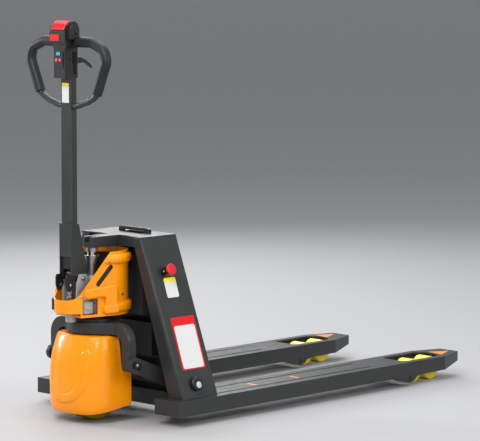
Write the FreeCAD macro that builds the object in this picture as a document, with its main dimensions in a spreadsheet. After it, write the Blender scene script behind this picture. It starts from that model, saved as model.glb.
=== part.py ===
"""Pallet jack with a hand pump and a powered drive wheel, as a parametric FreeCAD document.

Millimetres. +X points to the fork tips, +Y to the operator's left and +Z up, with the floor at Z 0.
Every sub-part is drawn with X counted from the steering axis, and its Placement then moves it by
Derived.axis_x, so that the document's origin is the middle of the jack on the floor.
"""
import FreeCAD, Part
import math
import os
import re
import Sketcher
from FreeCAD import Placement, Rotation, Vector

doc = FreeCAD.newDocument("pallet_jack")
sizes = doc.addObject("Spreadsheet::Sheet", "Sizes")
derived = doc.addObject("Spreadsheet::Sheet", "Derived")
owner = {}
nodes = []

# ---------------------------------------------------------------- driving dimensions

SIZES = [
    ("fork_overall", 685), ("fork_width", 160), ("fork_tip_x", 1474), ("fork_heel_x", 60.6),
    ("fork_top", 85), ("fork_depth", 50), ("fork_wall", 5), ("heel_width", 114), ("heel_end_x", 147),
    ("tip_taper_x", 1360), ("tip_width", 80), ("tip_depth", 33), ("window_x0", 1171),
    ("window_length", 205), ("window_width", 105), ("bead_offset", 42), ("bead_width", 9),
    ("bead_depth", 1.6), ("bead_start", 272), ("bead_end", 1005), ("rod_slot_width", 48),
    ("seam_x", 257), ("seam_width", 1.6), ("seam_depth", 0.5),
    ("lift_height", 115), ("slack", 0.3), ("fit", 0.08),
    ("tower_inset", 21.5), ("tower_half_top", 140.5), ("tower_top_z", 594.6),
    ("tower_front_bottom", 97.4), ("tower_front_top", 82), ("tower_rear_bottom", 253.4),
    ("tower_rear_top", 240), ("tower_wall", 5), ("flange_bottom", 65), ("flange_top", 38),
    ("bend_radius", 9), ("brow_height", 35), ("brow_x", 95), ("tongue_half", 23),
    ("tongue_nose_x", -20), ("beam_height", 50), ("beam_x", 165),
    ("shaft_x", 166), ("shaft_z", 128), ("shaft_radius", 12.5), ("tube_radius", 21),
    ("cap_radius", 23), ("cap_height", 17), ("lens_radius", 12),
    ("yoke_x", 2), ("yoke_depth", 34), ("yoke_half", 188), ("yoke_leg", 34), ("yoke_beam_z", 287),
    ("yoke_beam", 36), ("yoke_bend", 58), ("pin_z", 196), ("pin_radius", 10), ("pin_slack", 1.9), ("leg_foot", 26),
    ("hub_radius", 80), ("bearing_outer", 60), ("spindle_radius", 45),
    ("rocker_gap", 2), ("rocker_wall", 14), ("rocker_eye", 24), ("lug_arm", 50), ("lug_radius", 14),
    ("lug_wall", 7), ("rod_width", 16), ("rod_height", 14), ("rod_eye", 15), ("rod_play", 4.8),
    ("link_pin", 6),
    ("load_x", 1173), ("load_z", 28), ("load_pin", 10), ("load_reach", 124), ("load_cheek", 8),
    ("load_boss", 14), ("load_lug", 12), ("roller_radius", 40), ("roller_width", 60),
    ("roller_pitch", 90), ("roller_axle", 8.5), ("bogie_wall", 5.5), ("bogie_height", 30),
    ("bogie_pin", 9), ("side_play", 0.5),
    ("wheel_radius", 105), ("wheel_width", 70), ("wheel_hub", 78), ("wheel_axle", 10),
    ("bracket_wall", 8), ("bracket_gap", 5), ("bracket_top", 265), ("bracket_plate", 10),
    ("motor_radius", 47), ("motor_length", 58),
    ("cover_nose", 130), ("cover_half", 124), ("cover_straight_x", -28), ("cover_skirt_x", 56),
    ("cover_back_x", 12), ("cover_skirt_z", 160), ("cover_bottom", 53), ("cover_low", 33), ("cover_top", 283),
    ("cover_wall", 4), ("cover_crown", 40), ("cover_tuck", 9), ("cover_sweep", 40),
    ("pump_floor", 344), ("ring_x", -80), ("ring_radius", 64), ("drum_x", 37), ("drum_radius", 91),
    ("bulge", 11), ("tub_wall", 4), ("ring_top", 401), ("tub_top", 551), ("slope_foot_x", -105),
    ("slope_foot_z", 416), ("slope_head_x", 6), ("rib", 13),
    ("tank_radius", 42), ("tank_top", 470), ("barrel_radius", 25), ("barrel_top", 534),
    ("ram_radius", 16), ("ram_top", 546), ("pump_ear", 5), ("ear_half", 35), ("neck_foot", 326),
    ("tiller_pivot_x", -72), ("tiller_pivot_z", 468), ("tiller_pin", 7), ("tiller_swing", 75),
    ("cam_arm", 24), ("cam_radius", 11), ("cam_width", 20), ("plunger_radius", 9),
    ("plunger_cap", 13), ("plunger_seat", 397), ("tiller_front_x", -109), ("tiller_depth", 27.5),
    ("tiller_width", 48), ("tiller_drop", 181), ("gusset_top", 645), ("gusset_width", 57.5),
    ("gusset_foot", 72), ("gusset_foot_z", 480), ("gusset_wall", 3), ("cheek", 8),
    ("loop_x", -96), ("loop_tube", 10), ("grip_radius", 16.5), ("loop_drop", 66),
    ("loop_half", 181), ("loop_height", 204),
    ("head_front", 142), ("head_back", 79), ("head_split", 108), ("head_half", 35.5),
    ("neck_half", 26.3), ("neck_front", 134), ("shoulder_drop", 77), ("head_top", 1292),
    ("head_crown", 30), ("lever_pivot_x", -92), ("lever_drop", 124), ("lever_half", 6),
    ("slot_half", 8), ("throttle_x", -112), ("throttle_drop", 34), ("throttle_shaft", 7),
    ("knob_radius", 22), ("knob_width", 12), ("button_half", 31), ("button_drop", 27),
    ("button_travel", 5), ("button_back", 114), ("panel_half", 18.7), ("panel_drop", 148),
    ("panel_height", 53), ("panel_wall", 1.5), ("key_drop", 123), ("key_radius", 5.2),
    ("key_travel", 1.2), ("key_pitch", 17),
    ("estop_x", 150), ("estop_z", 481), ("estop_collar", 15), ("estop_reach", 22),
    ("estop_cap", 19), ("estop_travel", 6), ("estop_stem", 6),
    ("bay_x", 148), ("bay_depth", 86), ("bay_half", 80), ("bay_wall", 3), ("bay_floor", 330),
    ("pack_play", 0.6), ("handle_bar", 12), ("handle_half", 80), ("grip_recess", 24),
]

DERIVED = [
    ("axis_x", "-(fork_tip_x - (ring_radius - ring_x)) / 2"),
    ("fork_y", "(fork_overall - fork_width) / 2"),
    ("fork_bottom", "fork_top - fork_depth"),
    ("fork_inner", "fork_width / 2 - fork_wall"),
    ("tower_rise", "tower_top_z - fork_top"),
    ("tower_half_bottom", "fork_overall / 2 - tower_inset"),
    ("tiller_top", "head_top - tiller_drop"),
    ("loop_top", "head_top - loop_drop"),
    ("loop_foot", "loop_top - loop_height"),
    ("head_shoulder", "head_top - shoulder_drop"),
    ("lever_pivot_z", "head_top - lever_drop"),
    ("throttle_z", "head_top - throttle_drop"),
    ("button_foot", "head_top - button_drop"),
    ("panel_foot", "head_top - panel_drop"),
    ("key_z", "head_top - key_drop"),
    ("lean_slope", "(tower_half_bottom - tower_half_top) / tower_rise"),
    ("tower_lean", "atan(lean_slope) / 1deg"),
    ("wall_top", "tower_top_z - tower_wall"),
    ("wall_share", "(wall_top - fork_top) / tower_rise"),
    ("front_at_top", "tower_front_bottom + (tower_front_top - tower_front_bottom) * wall_share"),
    ("rear_at_top", "tower_rear_bottom + (tower_rear_top - tower_rear_bottom) * wall_share"),
    ("half_at_top", "tower_half_top + tower_wall * lean_slope"),
    ("shaft_half", "tower_half_bottom - (shaft_z + shaft_radius - fork_top) * lean_slope"),
    ("yoke_top", "yoke_beam_z + yoke_beam"),
    ("rocker_reach", "sqrt((shaft_x - yoke_x)^2 + (pin_z - shaft_z)^2)"),
    ("rocker_start", "asin((pin_z - shaft_z) / rocker_reach) / 1deg"),
    ("rocker_end", "atan((pin_z - shaft_z - lift_height) / (shaft_x - yoke_x)) / 1deg"),
    ("rocker_turn", "rocker_start - rocker_end"),
    ("eye_play", "rocker_reach - (shaft_x - yoke_x) + 2"),
    ("rod_stroke", "2 * lug_arm * sin(rocker_turn / 2)"),
    ("rod_front_x", "shaft_x - rod_stroke / 2"),
    ("rod_front_z", "shaft_z - lug_arm * cos(rocker_turn / 2)"),
    ("load_length", "sqrt(load_reach^2 + (roller_radius - load_z)^2)"),
    ("load_start", "asin((roller_radius - load_z) / load_length) / 1deg"),
    ("load_end", "asin((roller_radius - load_z - lift_height) / load_length) / 1deg"),
    ("load_turn", "load_start - load_end"),
    ("load_lug_arm", "rod_stroke / (2 * sin(load_turn / 2))"),
    ("rod_rise", "(1 - cos(rocker_turn / 2)) / 2"),
    ("load_rise", "(1 - cos(load_turn / 2)) / 2"),
    ("rod_rear_x", "load_x - rod_stroke / 2"),
    ("rod_rear_z", "load_z + load_lug_arm * cos(load_turn / 2)"),
    ("bogie_x", "load_x + load_reach"),
    ("bogie_half", "roller_width / 2 + side_play + bogie_wall"),
    ("load_half", "bogie_half + side_play + load_cheek"),
    ("arm_inner", "yoke_half + rocker_gap"),
    ("cam_rest_x", "tiller_pivot_x - cam_arm * cos(tiller_swing / 2)"),
    ("cam_rest_z", "tiller_pivot_z + cam_arm * sin(tiller_swing / 2)"),
    ("plunger_x", "tiller_pivot_x - cam_arm * (1 + cos(tiller_swing / 2)) / 2"),
    ("plunger_top", "cam_rest_z - cam_radius - 1"),
    ("plunger_stroke", "2 * cam_arm * sin(tiller_swing / 2)"),
    ("tongue_seat", "tower_top_z - brow_height"),
    ("tub_flare", "asin((drum_radius - ring_radius) / (drum_x - ring_x)) / 1deg"),
    ("loop_inner", "tiller_width / 2"),
]


def qualified(expression, sheet=None):
    """The expression with each size's name led by the sheet that holds it."""
    def lead(match):
        word = match.group(0)
        if word not in owner or owner[word] is sheet:
            return word
        return owner[word].Name + "." + word
    return re.sub(r"[a-z][a-z0-9_]*", lead, str(expression))


def fill_sheet(sheet, rows):
    """One row for each size: its name, then the cell that carries the alias."""
    for row, (alias, content) in enumerate(rows, 1):
        text = str(content) if sheet is sizes else "=" + qualified(content, sheet)
        owner[alias] = sheet
        sheet.set("A%d" % row, alias)
        sheet.set("B%d" % row, text)
        sheet.setAlias("B%d" % row, alias)
    doc.recompute()


fill_sheet(sizes, SIZES)
fill_sheet(derived, DERIVED)


def value(expression):
    """The number that an expression of the sheets' sizes comes to."""
    return float(sizes.evalExpression(qualified(expression)))


def bind(feature, prop, expression):
    feature.setExpression(prop, qualified(expression))


def node(feature, label, x="0"):
    """Names a finished sub-part and places it along X."""
    feature.Label = label
    bind(feature, "Placement.Base.x", "axis_x + (%s)" % x)
    nodes.append(feature)
    return feature


# ---------------------------------------------------------------- sketches and bodies

class Sketch:
    """A sketch on one of its body's origin planes, each of its corners bound to the sheets."""

    def __init__(self, body, plane, offset="0"):
        self.feature = body.newObject("Sketcher::SketchObject", body.Name + "_sketch")
        origin = [part for part in body.Origin.OriginFeatures if part.Role == plane + "_Plane"]
        self.feature.AttachmentSupport = (origin[0], "")
        self.feature.MapMode = "FlatFace"
        bind(self.feature, "AttachmentOffset.Base.z", offset)

    def constrain(self, kind, *where, to=None):
        if to is None:
            return self.feature.addConstraint(Sketcher.Constraint(kind, *where))
        index = self.feature.addConstraint(Sketcher.Constraint(kind, *where, value(to)))
        bind(self.feature, "Constraints[%d]" % index, to)
        return index

    def pin_point(self, geometry, end, corner):
        self.constrain("DistanceX", -1, 1, geometry, end, to=corner[0])
        self.constrain("DistanceY", -1, 1, geometry, end, to=corner[1])

    def polygon(self, corners, bends=None):
        """A closed outline of straight edges; bends maps a corner to (radius, u way, v way),
        the ways that its arc's centre lies in from the corner."""
        bends = bends or {}
        count = len(corners)
        points = [Vector(value(u), value(v), 0) for u, v in corners]
        leave, reach = {}, {}
        for i, point in enumerate(points):
            radius = value(bends[i][0]) if i in bends else 0
            reach[i] = point + (points[i - 1] - point).normalize() * radius
            leave[i] = point + (points[(i + 1) % count] - point).normalize() * radius
        first = self.feature.GeometryCount
        for i in range(count):
            self.feature.addGeometry(Part.LineSegment(leave[i], reach[(i + 1) % count]), False)
        for i in range(count):
            before = first + (i - 1) % count
            if i in bends:
                self.bend(before, first + i, corners[i], bends[i], reach[i], leave[i])
            else:
                self.constrain("Coincident", before, 2, first + i, 1)
                self.pin_point(first + i, 1, corners[i])
        return self

    def bend(self, before, after, corner, spec, reach, leave):
        """The arc at a corner, tangent to the edge before it and the edge after it."""
        radius, ways = spec[0], spec[1:]
        centre = ["%s + %d * (%s)" % (corner[axis], ways[axis], radius) for axis in range(2)]
        middle = Vector(value(centre[0]), value(centre[1]), 0)
        angles = [math.atan2(point.y - middle.y, point.x - middle.x) for point in (reach, leave)]
        turns_left = (angles[1] - angles[0]) % (2 * math.pi) < math.pi
        if not turns_left:
            angles.reverse()
        if angles[1] < angles[0]:
            angles[1] += 2 * math.pi
        ring = Part.Circle(middle, Vector(0, 0, 1), value(radius))
        arc = self.feature.addGeometry(Part.ArcOfCircle(ring, *angles), False)
        self.constrain("Tangent", before, 2, arc, 1 if turns_left else 2)
        self.constrain("Tangent", arc, 2 if turns_left else 1, after, 1)
        self.pin_point(arc, 3, centre)
        self.constrain("Radius", arc, to=radius)

    def circle(self, centre, radius):
        middle = Vector(value(centre[0]), value(centre[1]), 0)
        index = self.feature.addGeometry(Part.Circle(middle, Vector(0, 0, 1), value(radius)), False)
        self.pin_point(index, 3, centre)
        self.constrain("Radius", index, to=radius)
        return self

    def link(self, start, end):
        """The outline of a link: two round ends (u, v, radius) and the lines that touch both."""
        ends = [Vector(value(u), value(v), 0) for u, v, _ in (start, end)]
        radii = [value(start[2]), value(end[2])]
        along = (ends[1] - ends[0]).getAngle(Vector(1, 0, 0))
        if ends[1].y < ends[0].y:
            along = -along
        tilt = math.acos((radii[0] - radii[1]) / (ends[1] - ends[0]).Length)
        touch = []
        for angle in (along + tilt, along - tilt):
            way = Vector(math.cos(angle), math.sin(angle), 0)
            touch.append([ends[0] + way * radii[0], ends[1] + way * radii[1]])
        first = self.feature.GeometryCount
        spans = [(along + tilt, along - tilt + 2 * math.pi), (along - tilt, along + tilt)]
        for centre, radius, span in zip(ends, radii, spans):
            ring = Part.Circle(centre, Vector(0, 0, 1), radius)
            self.feature.addGeometry(Part.ArcOfCircle(ring, *span), False)
        for pair in touch:
            self.feature.addGeometry(Part.LineSegment(pair[0], pair[1]), False)
        joints = [(0, 1, 2, 1), (0, 2, 3, 1), (1, 2, 2, 2), (1, 1, 3, 2)]
        for arc, arc_end, line, line_end in joints:
            self.constrain("Tangent", first + arc, arc_end, first + line, line_end)
        for index, (u, v, radius) in enumerate((start, end)):
            self.pin_point(first + index, 3, (u, v))
            self.constrain("Radius", first + index, to=radius)
        return self


class Body:
    """A PartDesign body, with the features that the sub-parts are made of."""

    def __init__(self, label, y="0", z="0"):
        self.body = doc.addObject("PartDesign::Body", label)
        bind(self.body, "Placement.Base.y", y)
        bind(self.body, "Placement.Base.z", z)
        node(self.body, label)

    def sketch(self, plane, offset="0"):
        return Sketch(self.body, plane, offset)

    def extrude(self, kind, sketch, length, middle=False, back=False, through=False):
        doc.recompute()
        before = self.body.Shape.Volume if self.body.Tip else 0
        feature = self.body.newObject("PartDesign::" + kind, self.body.Name + "_" + kind.lower())
        feature.Profile = sketch.feature
        feature.Midplane = middle
        feature.Reversed = back
        if through:
            feature.Type = "ThroughAll"
        else:
            bind(feature, "Length", length)
        doc.recompute()
        if kind == "Pocket" and self.body.Shape.Volume >= before - 1e-3:
            raise RuntimeError(feature.Name + " cuts nothing")
        return feature

    def pad(self, sketch, length, middle=False, back=False):
        return self.extrude("Pad", sketch, length, middle, back)

    def pocket(self, sketch, length="1", middle=False, back=False, through=False):
        return self.extrude("Pocket", sketch, length, middle, back, through)

    def loft(self, sketches, ruled=True):
        doc.recompute()
        feature = self.body.newObject("PartDesign::AdditiveLoft", self.body.Name + "_loft")
        feature.Profile = sketches[0].feature
        feature.Sections = [sketch.feature for sketch in sketches[1:]]
        feature.Ruled = ruled
        doc.recompute()
        return feature

    def round(self, radius, pick, kind="Fillet"):
        """Fillets or chamfers the edges that pick chooses."""
        doc.recompute()
        base = self.body.Tip
        chosen = ["Edge%d" % i for i, edge in enumerate(base.Shape.Edges, 1) if pick(edge)]
        if not chosen:
            raise RuntimeError(self.body.Label + " has no such edge")
        feature = self.body.newObject("PartDesign::" + kind, self.body.Name + "_" + kind.lower())
        feature.Base = (base, chosen)
        bind(feature, "Radius" if kind == "Fillet" else "Size", radius)
        doc.recompute()
        return feature


def runs_along(edge, axis):
    """True for a straight edge that is parallel to the axis (0, 1 or 2)."""
    start, end = edge.Vertexes[0].Point, edge.Vertexes[-1].Point
    span = end - start
    return len(edge.Vertexes) == 2 and abs(span[axis]) > 0.999 * span.Length > 0.5


def edge_at(edge, **where):
    """True where the edge's middle lies at the given x, y or z, within half a millimetre."""
    middle = edge.valueAt((edge.FirstParameter + edge.LastParameter) / 2)
    return all(abs(getattr(middle, axis) - place) < 0.5 for axis, place in where.items())


# ---------------------------------------------------------------- primitives and booleans

AXES = {"X": Vector(1, 0, 0), "Y": Vector(0, 1, 0), "Z": Vector(0, 0, 1)}


def place(feature, x, y, z):
    for letter, expression in zip("xyz", (x, y, z)):
        bind(feature, "Placement.Base." + letter, expression)
    return feature


def rod(name, axis, radius, at, length, inner=None):
    """A round bar, or a tube where it has an inner radius, that starts at a point."""
    bar = doc.addObject("Part::Cylinder", name + "_bar")
    bar.Placement = Placement(Vector(), Rotation(AXES["Z"], AXES[axis]))
    bind(bar, "Radius", radius)
    bind(bar, "Height", length)
    place(bar, *at)
    if inner is None:
        return bar
    return cut(name, bar, rod(name + "_bore", axis, inner, at, length))


def block(name, corner, extent):
    box = doc.addObject("Part::Box", name)
    for prop, expression in zip(("Length", "Width", "Height"), extent):
        bind(box, prop, expression)
    return place(box, *corner)


def fuse(name, parts):
    joined = doc.addObject("Part::MultiFuse", name)
    joined.Shapes = parts
    return joined


def group(name, parts):
    """Separate solids that share one node."""
    together = doc.addObject("Part::Compound", name)
    together.Links = parts
    return together


def cut(name, base, tool):
    result = doc.addObject("Part::Cut", name)
    result.Base = base
    result.Tool = tool
    return result


def fixed(label, shape):
    """A sub-part whose shape is worked out here from the sheets' sizes."""
    feature = doc.addObject("Part::Feature", label)
    feature.Shape = shape
    return node(feature, label)


# ---------------------------------------------------------------- forks

def fork(label, side):
    """A pressed channel fork: flat top, open underneath, tapered nose and a chamfered heel."""
    body = Body(label, y="%d * fork_y" % side)
    half, tip = "fork_width / 2", "tip_width / 2"
    heel_y = "%d * (heel_width - fork_width / 2)" % -side
    inner_y = "%d * fork_width / 2" % -side
    outer_y = "%d * fork_width / 2" % side
    toe_in, toe_out = "%d * tip_width / 2" % -side, "%d * tip_width / 2" % side
    outline = [("fork_heel_x", outer_y), ("tip_taper_x", outer_y), ("fork_tip_x", toe_out),
               ("fork_tip_x", toe_in), ("tip_taper_x", inner_y), ("heel_end_x", inner_y),
               ("heel_end_x - (fork_width - heel_width)", heel_y), ("fork_heel_x", heel_y)]
    body.pad(body.sketch("XY").polygon(outline), "fork_top")
    inside = [("fork_heel_x + fork_wall", "%s - %d * fork_wall" % (outer_y, side)),
              ("tip_taper_x", "%s - %d * fork_wall" % (outer_y, side)),
              ("fork_tip_x - 6 * fork_wall", "%s - %d * -fork_wall" % (toe_out, side)),
              ("fork_tip_x - 6 * fork_wall", "%s + %d * -fork_wall" % (toe_in, side)),
              ("tip_taper_x", "%s + %d * fork_wall" % (inner_y, side)),
              ("heel_end_x", "%s + %d * fork_wall" % (inner_y, side)),
              ("heel_end_x - (fork_width - heel_width)", "%s + %d * fork_wall" % (heel_y, side)),
              ("fork_heel_x + fork_wall", "%s + %d * fork_wall" % (heel_y, side))]
    body.pocket(body.sketch("XY").polygon(inside), "fork_top - fork_wall", back=True)
    under = [("fork_heel_x - 10", "fork_bottom"), ("load_x - 78", "fork_bottom"),
             ("load_x - 24", "load_z - 9"), ("load_x - 14", "load_z - 11.5"),
             ("load_x + 14", "load_z - 11.5"), ("load_x + 24", "load_z - 9"),
             ("load_x + 38", "fork_bottom"), ("tip_taper_x", "fork_bottom + 2"),
             ("fork_tip_x + 10", "fork_top - tip_depth + 1"), ("fork_tip_x + 10", "-10"),
             ("fork_heel_x - 10", "-10")]
    body.pocket(body.sketch("XZ").polygon(under), middle=True, through=True)
    window = body.sketch("XY", "fork_top")
    shoulder = "window_width / 2 - 12"
    window.polygon([("window_x0", "-(%s)" % shoulder), ("window_x0 + 14", "-window_width / 2"),
                    ("window_x0 + window_length - 30", "-window_width / 2"),
                    ("window_x0 + window_length", "-window_width / 4"),
                    ("window_x0 + window_length", "window_width / 4"),
                    ("window_x0 + window_length - 30", "window_width / 2"),
                    ("window_x0 + 14", "window_width / 2"), ("window_x0", shoulder)])
    body.pocket(window, "fork_wall")
    for way in (-1, 1):
        middle = "%d * bead_offset" % way
        bead = body.sketch("XY", "fork_top")
        bead.link(("bead_start", middle, "bead_width / 2"), ("bead_end", middle, "bead_width / 2"))
        body.pocket(bead, "bead_depth")
    slot = body.sketch("XY", "fork_top")
    slot.polygon([("rod_front_x - rod_eye - 10", "-rod_slot_width / 2"),
                  ("shaft_x + rod_stroke / 2 + rod_eye + 30", "-rod_slot_width / 2"),
                  ("shaft_x + rod_stroke / 2 + rod_eye + 30", "rod_slot_width / 2"),
                  ("rod_front_x - rod_eye - 10", "rod_slot_width / 2")])
    body.pocket(slot, "fork_wall")
    seam = body.sketch("XY", "fork_top")
    seam.polygon([("seam_x", "-fork_width"), ("seam_x + seam_width", "-fork_width"),
                  ("seam_x + seam_width", "fork_width"), ("seam_x", "fork_width")])
    body.pocket(seam, "seam_depth")
    body.pocket(body.sketch("XZ").circle(("load_x", "load_z"), "load_pin + fit"),
                middle=True, through=True)
    return body


fork("fork_left", 1)
fork("fork_right", -1)

load_pivots = []
for side in (-1, 1):
    load_pivots.append(rod("load_pivot", "Y", "load_pin",
                           ("load_x", "%d * fork_y - fork_width / 2" % side, "load_z"), "fork_width"))
node(group("load_pivots", load_pivots), "load_pivots")


# ---------------------------------------------------------------- tower

def tower_side(label, side):
    """An inclined side panel with the flange that is bent inward along its front edge."""
    body = Body(label)

    def section(level, half, front, rear, flange):
        out = "%d * (%s)" % (side, half)
        skin = "%d * (%s - tower_wall)" % (side, half)
        edge = "%d * (%s - %s)" % (side, half, flange)
        corners = [(front, out), (rear, out), (rear, skin), ("%s + tower_wall" % front, skin),
                   ("%s + tower_wall" % front, edge), (front, edge)]
        bends = {0: ("bend_radius", 1, -side), 3: ("bend_radius - tower_wall", 1, -side)}
        return body.sketch("XY", level).polygon(corners, bends)

    body.loft([section("fork_top", "tower_half_bottom", "tower_front_bottom", "tower_rear_bottom",
                       "flange_bottom"),
               section("wall_top", "half_at_top", "front_at_top", "rear_at_top", "flange_top")])
    body.pocket(body.sketch("XZ").circle(("shaft_x", "shaft_z"), "shaft_radius + fit"),
                middle=True, through=True)
    return body


tower_side("tower_side_left", 1)
tower_side("tower_side_right", -1)

back = Body("tower_back")
levels = [("fork_top", "tower_half_bottom", "tower_rear_bottom"),
          ("wall_top", "half_at_top", "rear_at_top")]
sections = []
for level, half, rear in levels:
    across = "%s - tower_wall - slack" % half
    sections.append(back.sketch("XY", level).polygon(
        [("%s - tower_wall" % rear, "-(%s)" % across), (rear, "-(%s)" % across),
         (rear, across), ("%s - tower_wall" % rear, across)]))
back.loft(sections)

crossbeam = Body("base_crossbeam")
crossbeam.pad(crossbeam.sketch("XZ").polygon(
    [("beam_x", "fork_top - beam_height"), ("beam_x + tower_wall", "fork_top - beam_height"),
     ("beam_x + tower_wall", "fork_top - tower_wall"),
     ("tower_rear_bottom - tower_wall", "fork_top - tower_wall"),
     ("tower_rear_bottom - tower_wall", "fork_top - beam_height"),
     ("tower_rear_bottom", "fork_top - beam_height"), ("tower_rear_bottom", "fork_top"),
     ("beam_x", "fork_top")]), "fork_overall - 2 * fork_width", middle=True)

top = Body("tower_top")
plan = [("rear_at_top", "half_at_top - 1"), ("front_at_top", "half_at_top - 1"),
        ("front_at_top + 4", "half_at_top - 26"), ("brow_x", "half_at_top - 75"),
        ("brow_x", "tongue_half + 4"), ("tongue_nose_x + 8", "tongue_half"),
        ("tongue_nose_x", "tongue_half - 8")]
outline = plan + [(x, "-(%s)" % y) for x, y in reversed(plan)]
top.pad(top.sketch("XY", "wall_top").polygon(outline), "tower_wall")
brow_half = "half_at_top - flange_top + (wall_top - %s) * lean_slope * 0.25 - 3"
brow = top.sketch("YZ", "brow_x")
brow.polygon([("-(%s)" % brow_half % "tongue_seat", "tongue_seat"),
              (brow_half % "tongue_seat", "tongue_seat"), (brow_half % "wall_top", "wall_top"),
              ("-(%s)" % brow_half % "wall_top", "wall_top")])
top.pad(brow, "tower_wall")
skirt = top.sketch("XY", "tongue_seat")
skirt.polygon([("tongue_nose_x", "tongue_half - 8"), ("tongue_nose_x + 8", "tongue_half"),
               ("brow_x", "tongue_half + 4"), ("brow_x", "-tongue_half - 4"),
               ("tongue_nose_x + 8", "-tongue_half"), ("tongue_nose_x", "-tongue_half + 8")])
top.pad(skirt, "brow_height - tower_wall")
hollow = top.sketch("XY", "tongue_seat")
hollow.polygon([("ram_radius + 6", "tongue_half - tower_wall"), ("brow_x", "tongue_half - tower_wall"),
                ("brow_x", "-tongue_half + tower_wall"), ("ram_radius + 6", "-tongue_half + tower_wall")])
top.pocket(hollow, "brow_height - tower_wall", back=True)
notch = top.sketch("XY", "tower_top_z")
notch.link(("tongue_nose_x - 10", "0", "tongue_half - 12"), ("ram_radius - 6", "0", "tongue_half - 12"))
top.pocket(notch, "18")
opening = top.sketch("XY", "tower_top_z")
opening.polygon([("bay_x - slack", "-bay_half - slack"), ("bay_x + bay_depth + slack", "-bay_half - slack"),
                 ("bay_x + bay_depth + slack", "bay_half + slack"), ("bay_x - slack", "bay_half + slack")])
top.pocket(opening, "tower_wall")

frame_shaft = rod("frame_shaft", "Y", "shaft_radius", ("shaft_x", "-shaft_half", "shaft_z"),
                  "2 * shaft_half")
node(frame_shaft, "frame_shaft", "shaft_x")


def on_panel(feature, x, z, side, lift="0"):
    """Stands a feature on the outside of a side panel, along the panel's normal."""
    turn = "%d * (90 - tower_lean)" % -side
    half = "(tower_half_bottom - (%s - fork_top) * lean_slope)" % z
    feature.Placement = Placement(Vector(), Rotation(Vector(1, 0, 0), 10))
    bind(feature, "Placement.Rotation.Angle", turn)
    place(feature, x, "%d * (%s + (%s) * cos(tower_lean))" % (side, half, lift),
          "%s + (%s) * sin(tower_lean)" % (z, lift))
    return feature


def turned(name, radius, height):
    bar = doc.addObject("Part::Cylinder", name)
    bind(bar, "Radius", radius)
    bind(bar, "Height", height)
    return bar


caps = []
for side in (-1, 1):
    ring = on_panel(turned("cap_ring", "cap_radius", "cap_height"), "shaft_x", "shaft_z", side)
    rim = doc.addObject("Part::Chamfer", "cap_rim")
    rim.Base = ring
    doc.recompute()
    outer = [i for i, edge in enumerate(ring.Shape.Edges, 1)
             if len(edge.Vertexes) == 1 and abs(edge.CenterOfMass.y) > abs(ring.Placement.Base.y) + 3]
    rim.Edges = [(i, 4, 4) for i in outer]
    well = on_panel(turned("cap_well", "lens_radius + 1", "cap_height"), "shaft_x", "shaft_z", side,
                    "cap_height - 4")
    lens = on_panel(turned("cap_lens", "lens_radius", "5"), "shaft_x", "shaft_z", side,
                    "cap_height - 4")
    caps += [cut("shaft_cap", rim, well), lens]
node(group("shaft_caps", caps), "shaft_caps")


# ---------------------------------------------------------------- battery, its bay, controller, stop button

def walled(name, corner, extent, wall):
    """An open-topped box with a floor."""
    inner_corner = ["%s + %s" % (corner[i], wall) for i in range(3)]
    inner_extent = ["%s - 2 * %s" % (extent[0], wall), "%s - 2 * %s" % (extent[1], wall), extent[2]]
    return cut(name, block(name + "_outer", corner, extent), block(name + "_inner", inner_corner, inner_extent))


node(walled("battery_bay", ("bay_x", "-bay_half", "bay_floor"),
            ("bay_depth", "2 * bay_half", "tower_top_z - bay_floor"), "bay_wall"), "battery_bay")
play = "(bay_wall + pack_play)"
pack = block("pack", ("bay_x + " + play, "-bay_half + " + play, "bay_floor + bay_wall"),
             ("bay_depth - 2 * " + play, "2 * (bay_half - %s)" % play,
              "tower_top_z - bay_floor - bay_wall"))
recess = block("pack_recess", ("bay_x + bay_depth / 2 - 24", "-48", "tower_top_z - grip_recess"),
               ("48", "96", "grip_recess + 5"))
node(cut("battery_pack", pack, recess), "battery_pack")
bar_x = "(bay_x + bay_depth / 2)"
bar = Body("battery_handle")
bar.pad(bar.sketch("YZ", bar_x + " - handle_bar / 2").polygon(
    [("-bay_half + 8", "tower_top_z"), ("-bay_half + 26", "tower_top_z"), ("-bay_half + 30", "tower_top_z + 5"),
     ("bay_half - 30", "tower_top_z + 5"), ("bay_half - 26", "tower_top_z"), ("bay_half - 8", "tower_top_z"),
     ("bay_half - 8", "tower_top_z + 13"), ("bay_half - 24", "tower_top_z + 16"),
     ("-bay_half + 24", "tower_top_z + 16"), ("-bay_half + 8", "tower_top_z + 13")]), "handle_bar")
bar.round("3", lambda edge: runs_along(edge, 1))

box = block("controller", ("rear_at_top - 52", "-80", "190"), ("54", "160", "110"))
node(box, "controller_box", "rear_at_top - 52")

collar = on_panel(turned("estop_ring", "estop_collar", "estop_reach"), "estop_x", "estop_z", -1)
bore = on_panel(turned("estop_bore", "estop_stem + fit", "estop_reach"), "estop_x", "estop_z", -1, "4")
node(cut("estop_housing", collar, bore), "estop_housing")
stem = on_panel(turned("estop_shank", "estop_stem", "estop_reach + 3"), "estop_x", "estop_z", -1,
                "4 + estop_travel + slack")
mushroom = on_panel(turned("estop_mushroom", "estop_cap", "12"), "estop_x", "estop_z", -1,
                    "estop_reach + estop_travel + slack")
dome = doc.addObject("Part::Fillet", "estop_dome")
dome.Base = mushroom
doc.recompute()
rims = [i for i, edge in enumerate(mushroom.Shape.Edges, 1) if len(edge.Vertexes) == 1]
dome.Edges = [(i, 4, 4) for i in rims]
node(fuse("estop_button", [stem, dome]), "estop_button")


# ---------------------------------------------------------------- yoke, bearing, rocker

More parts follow.
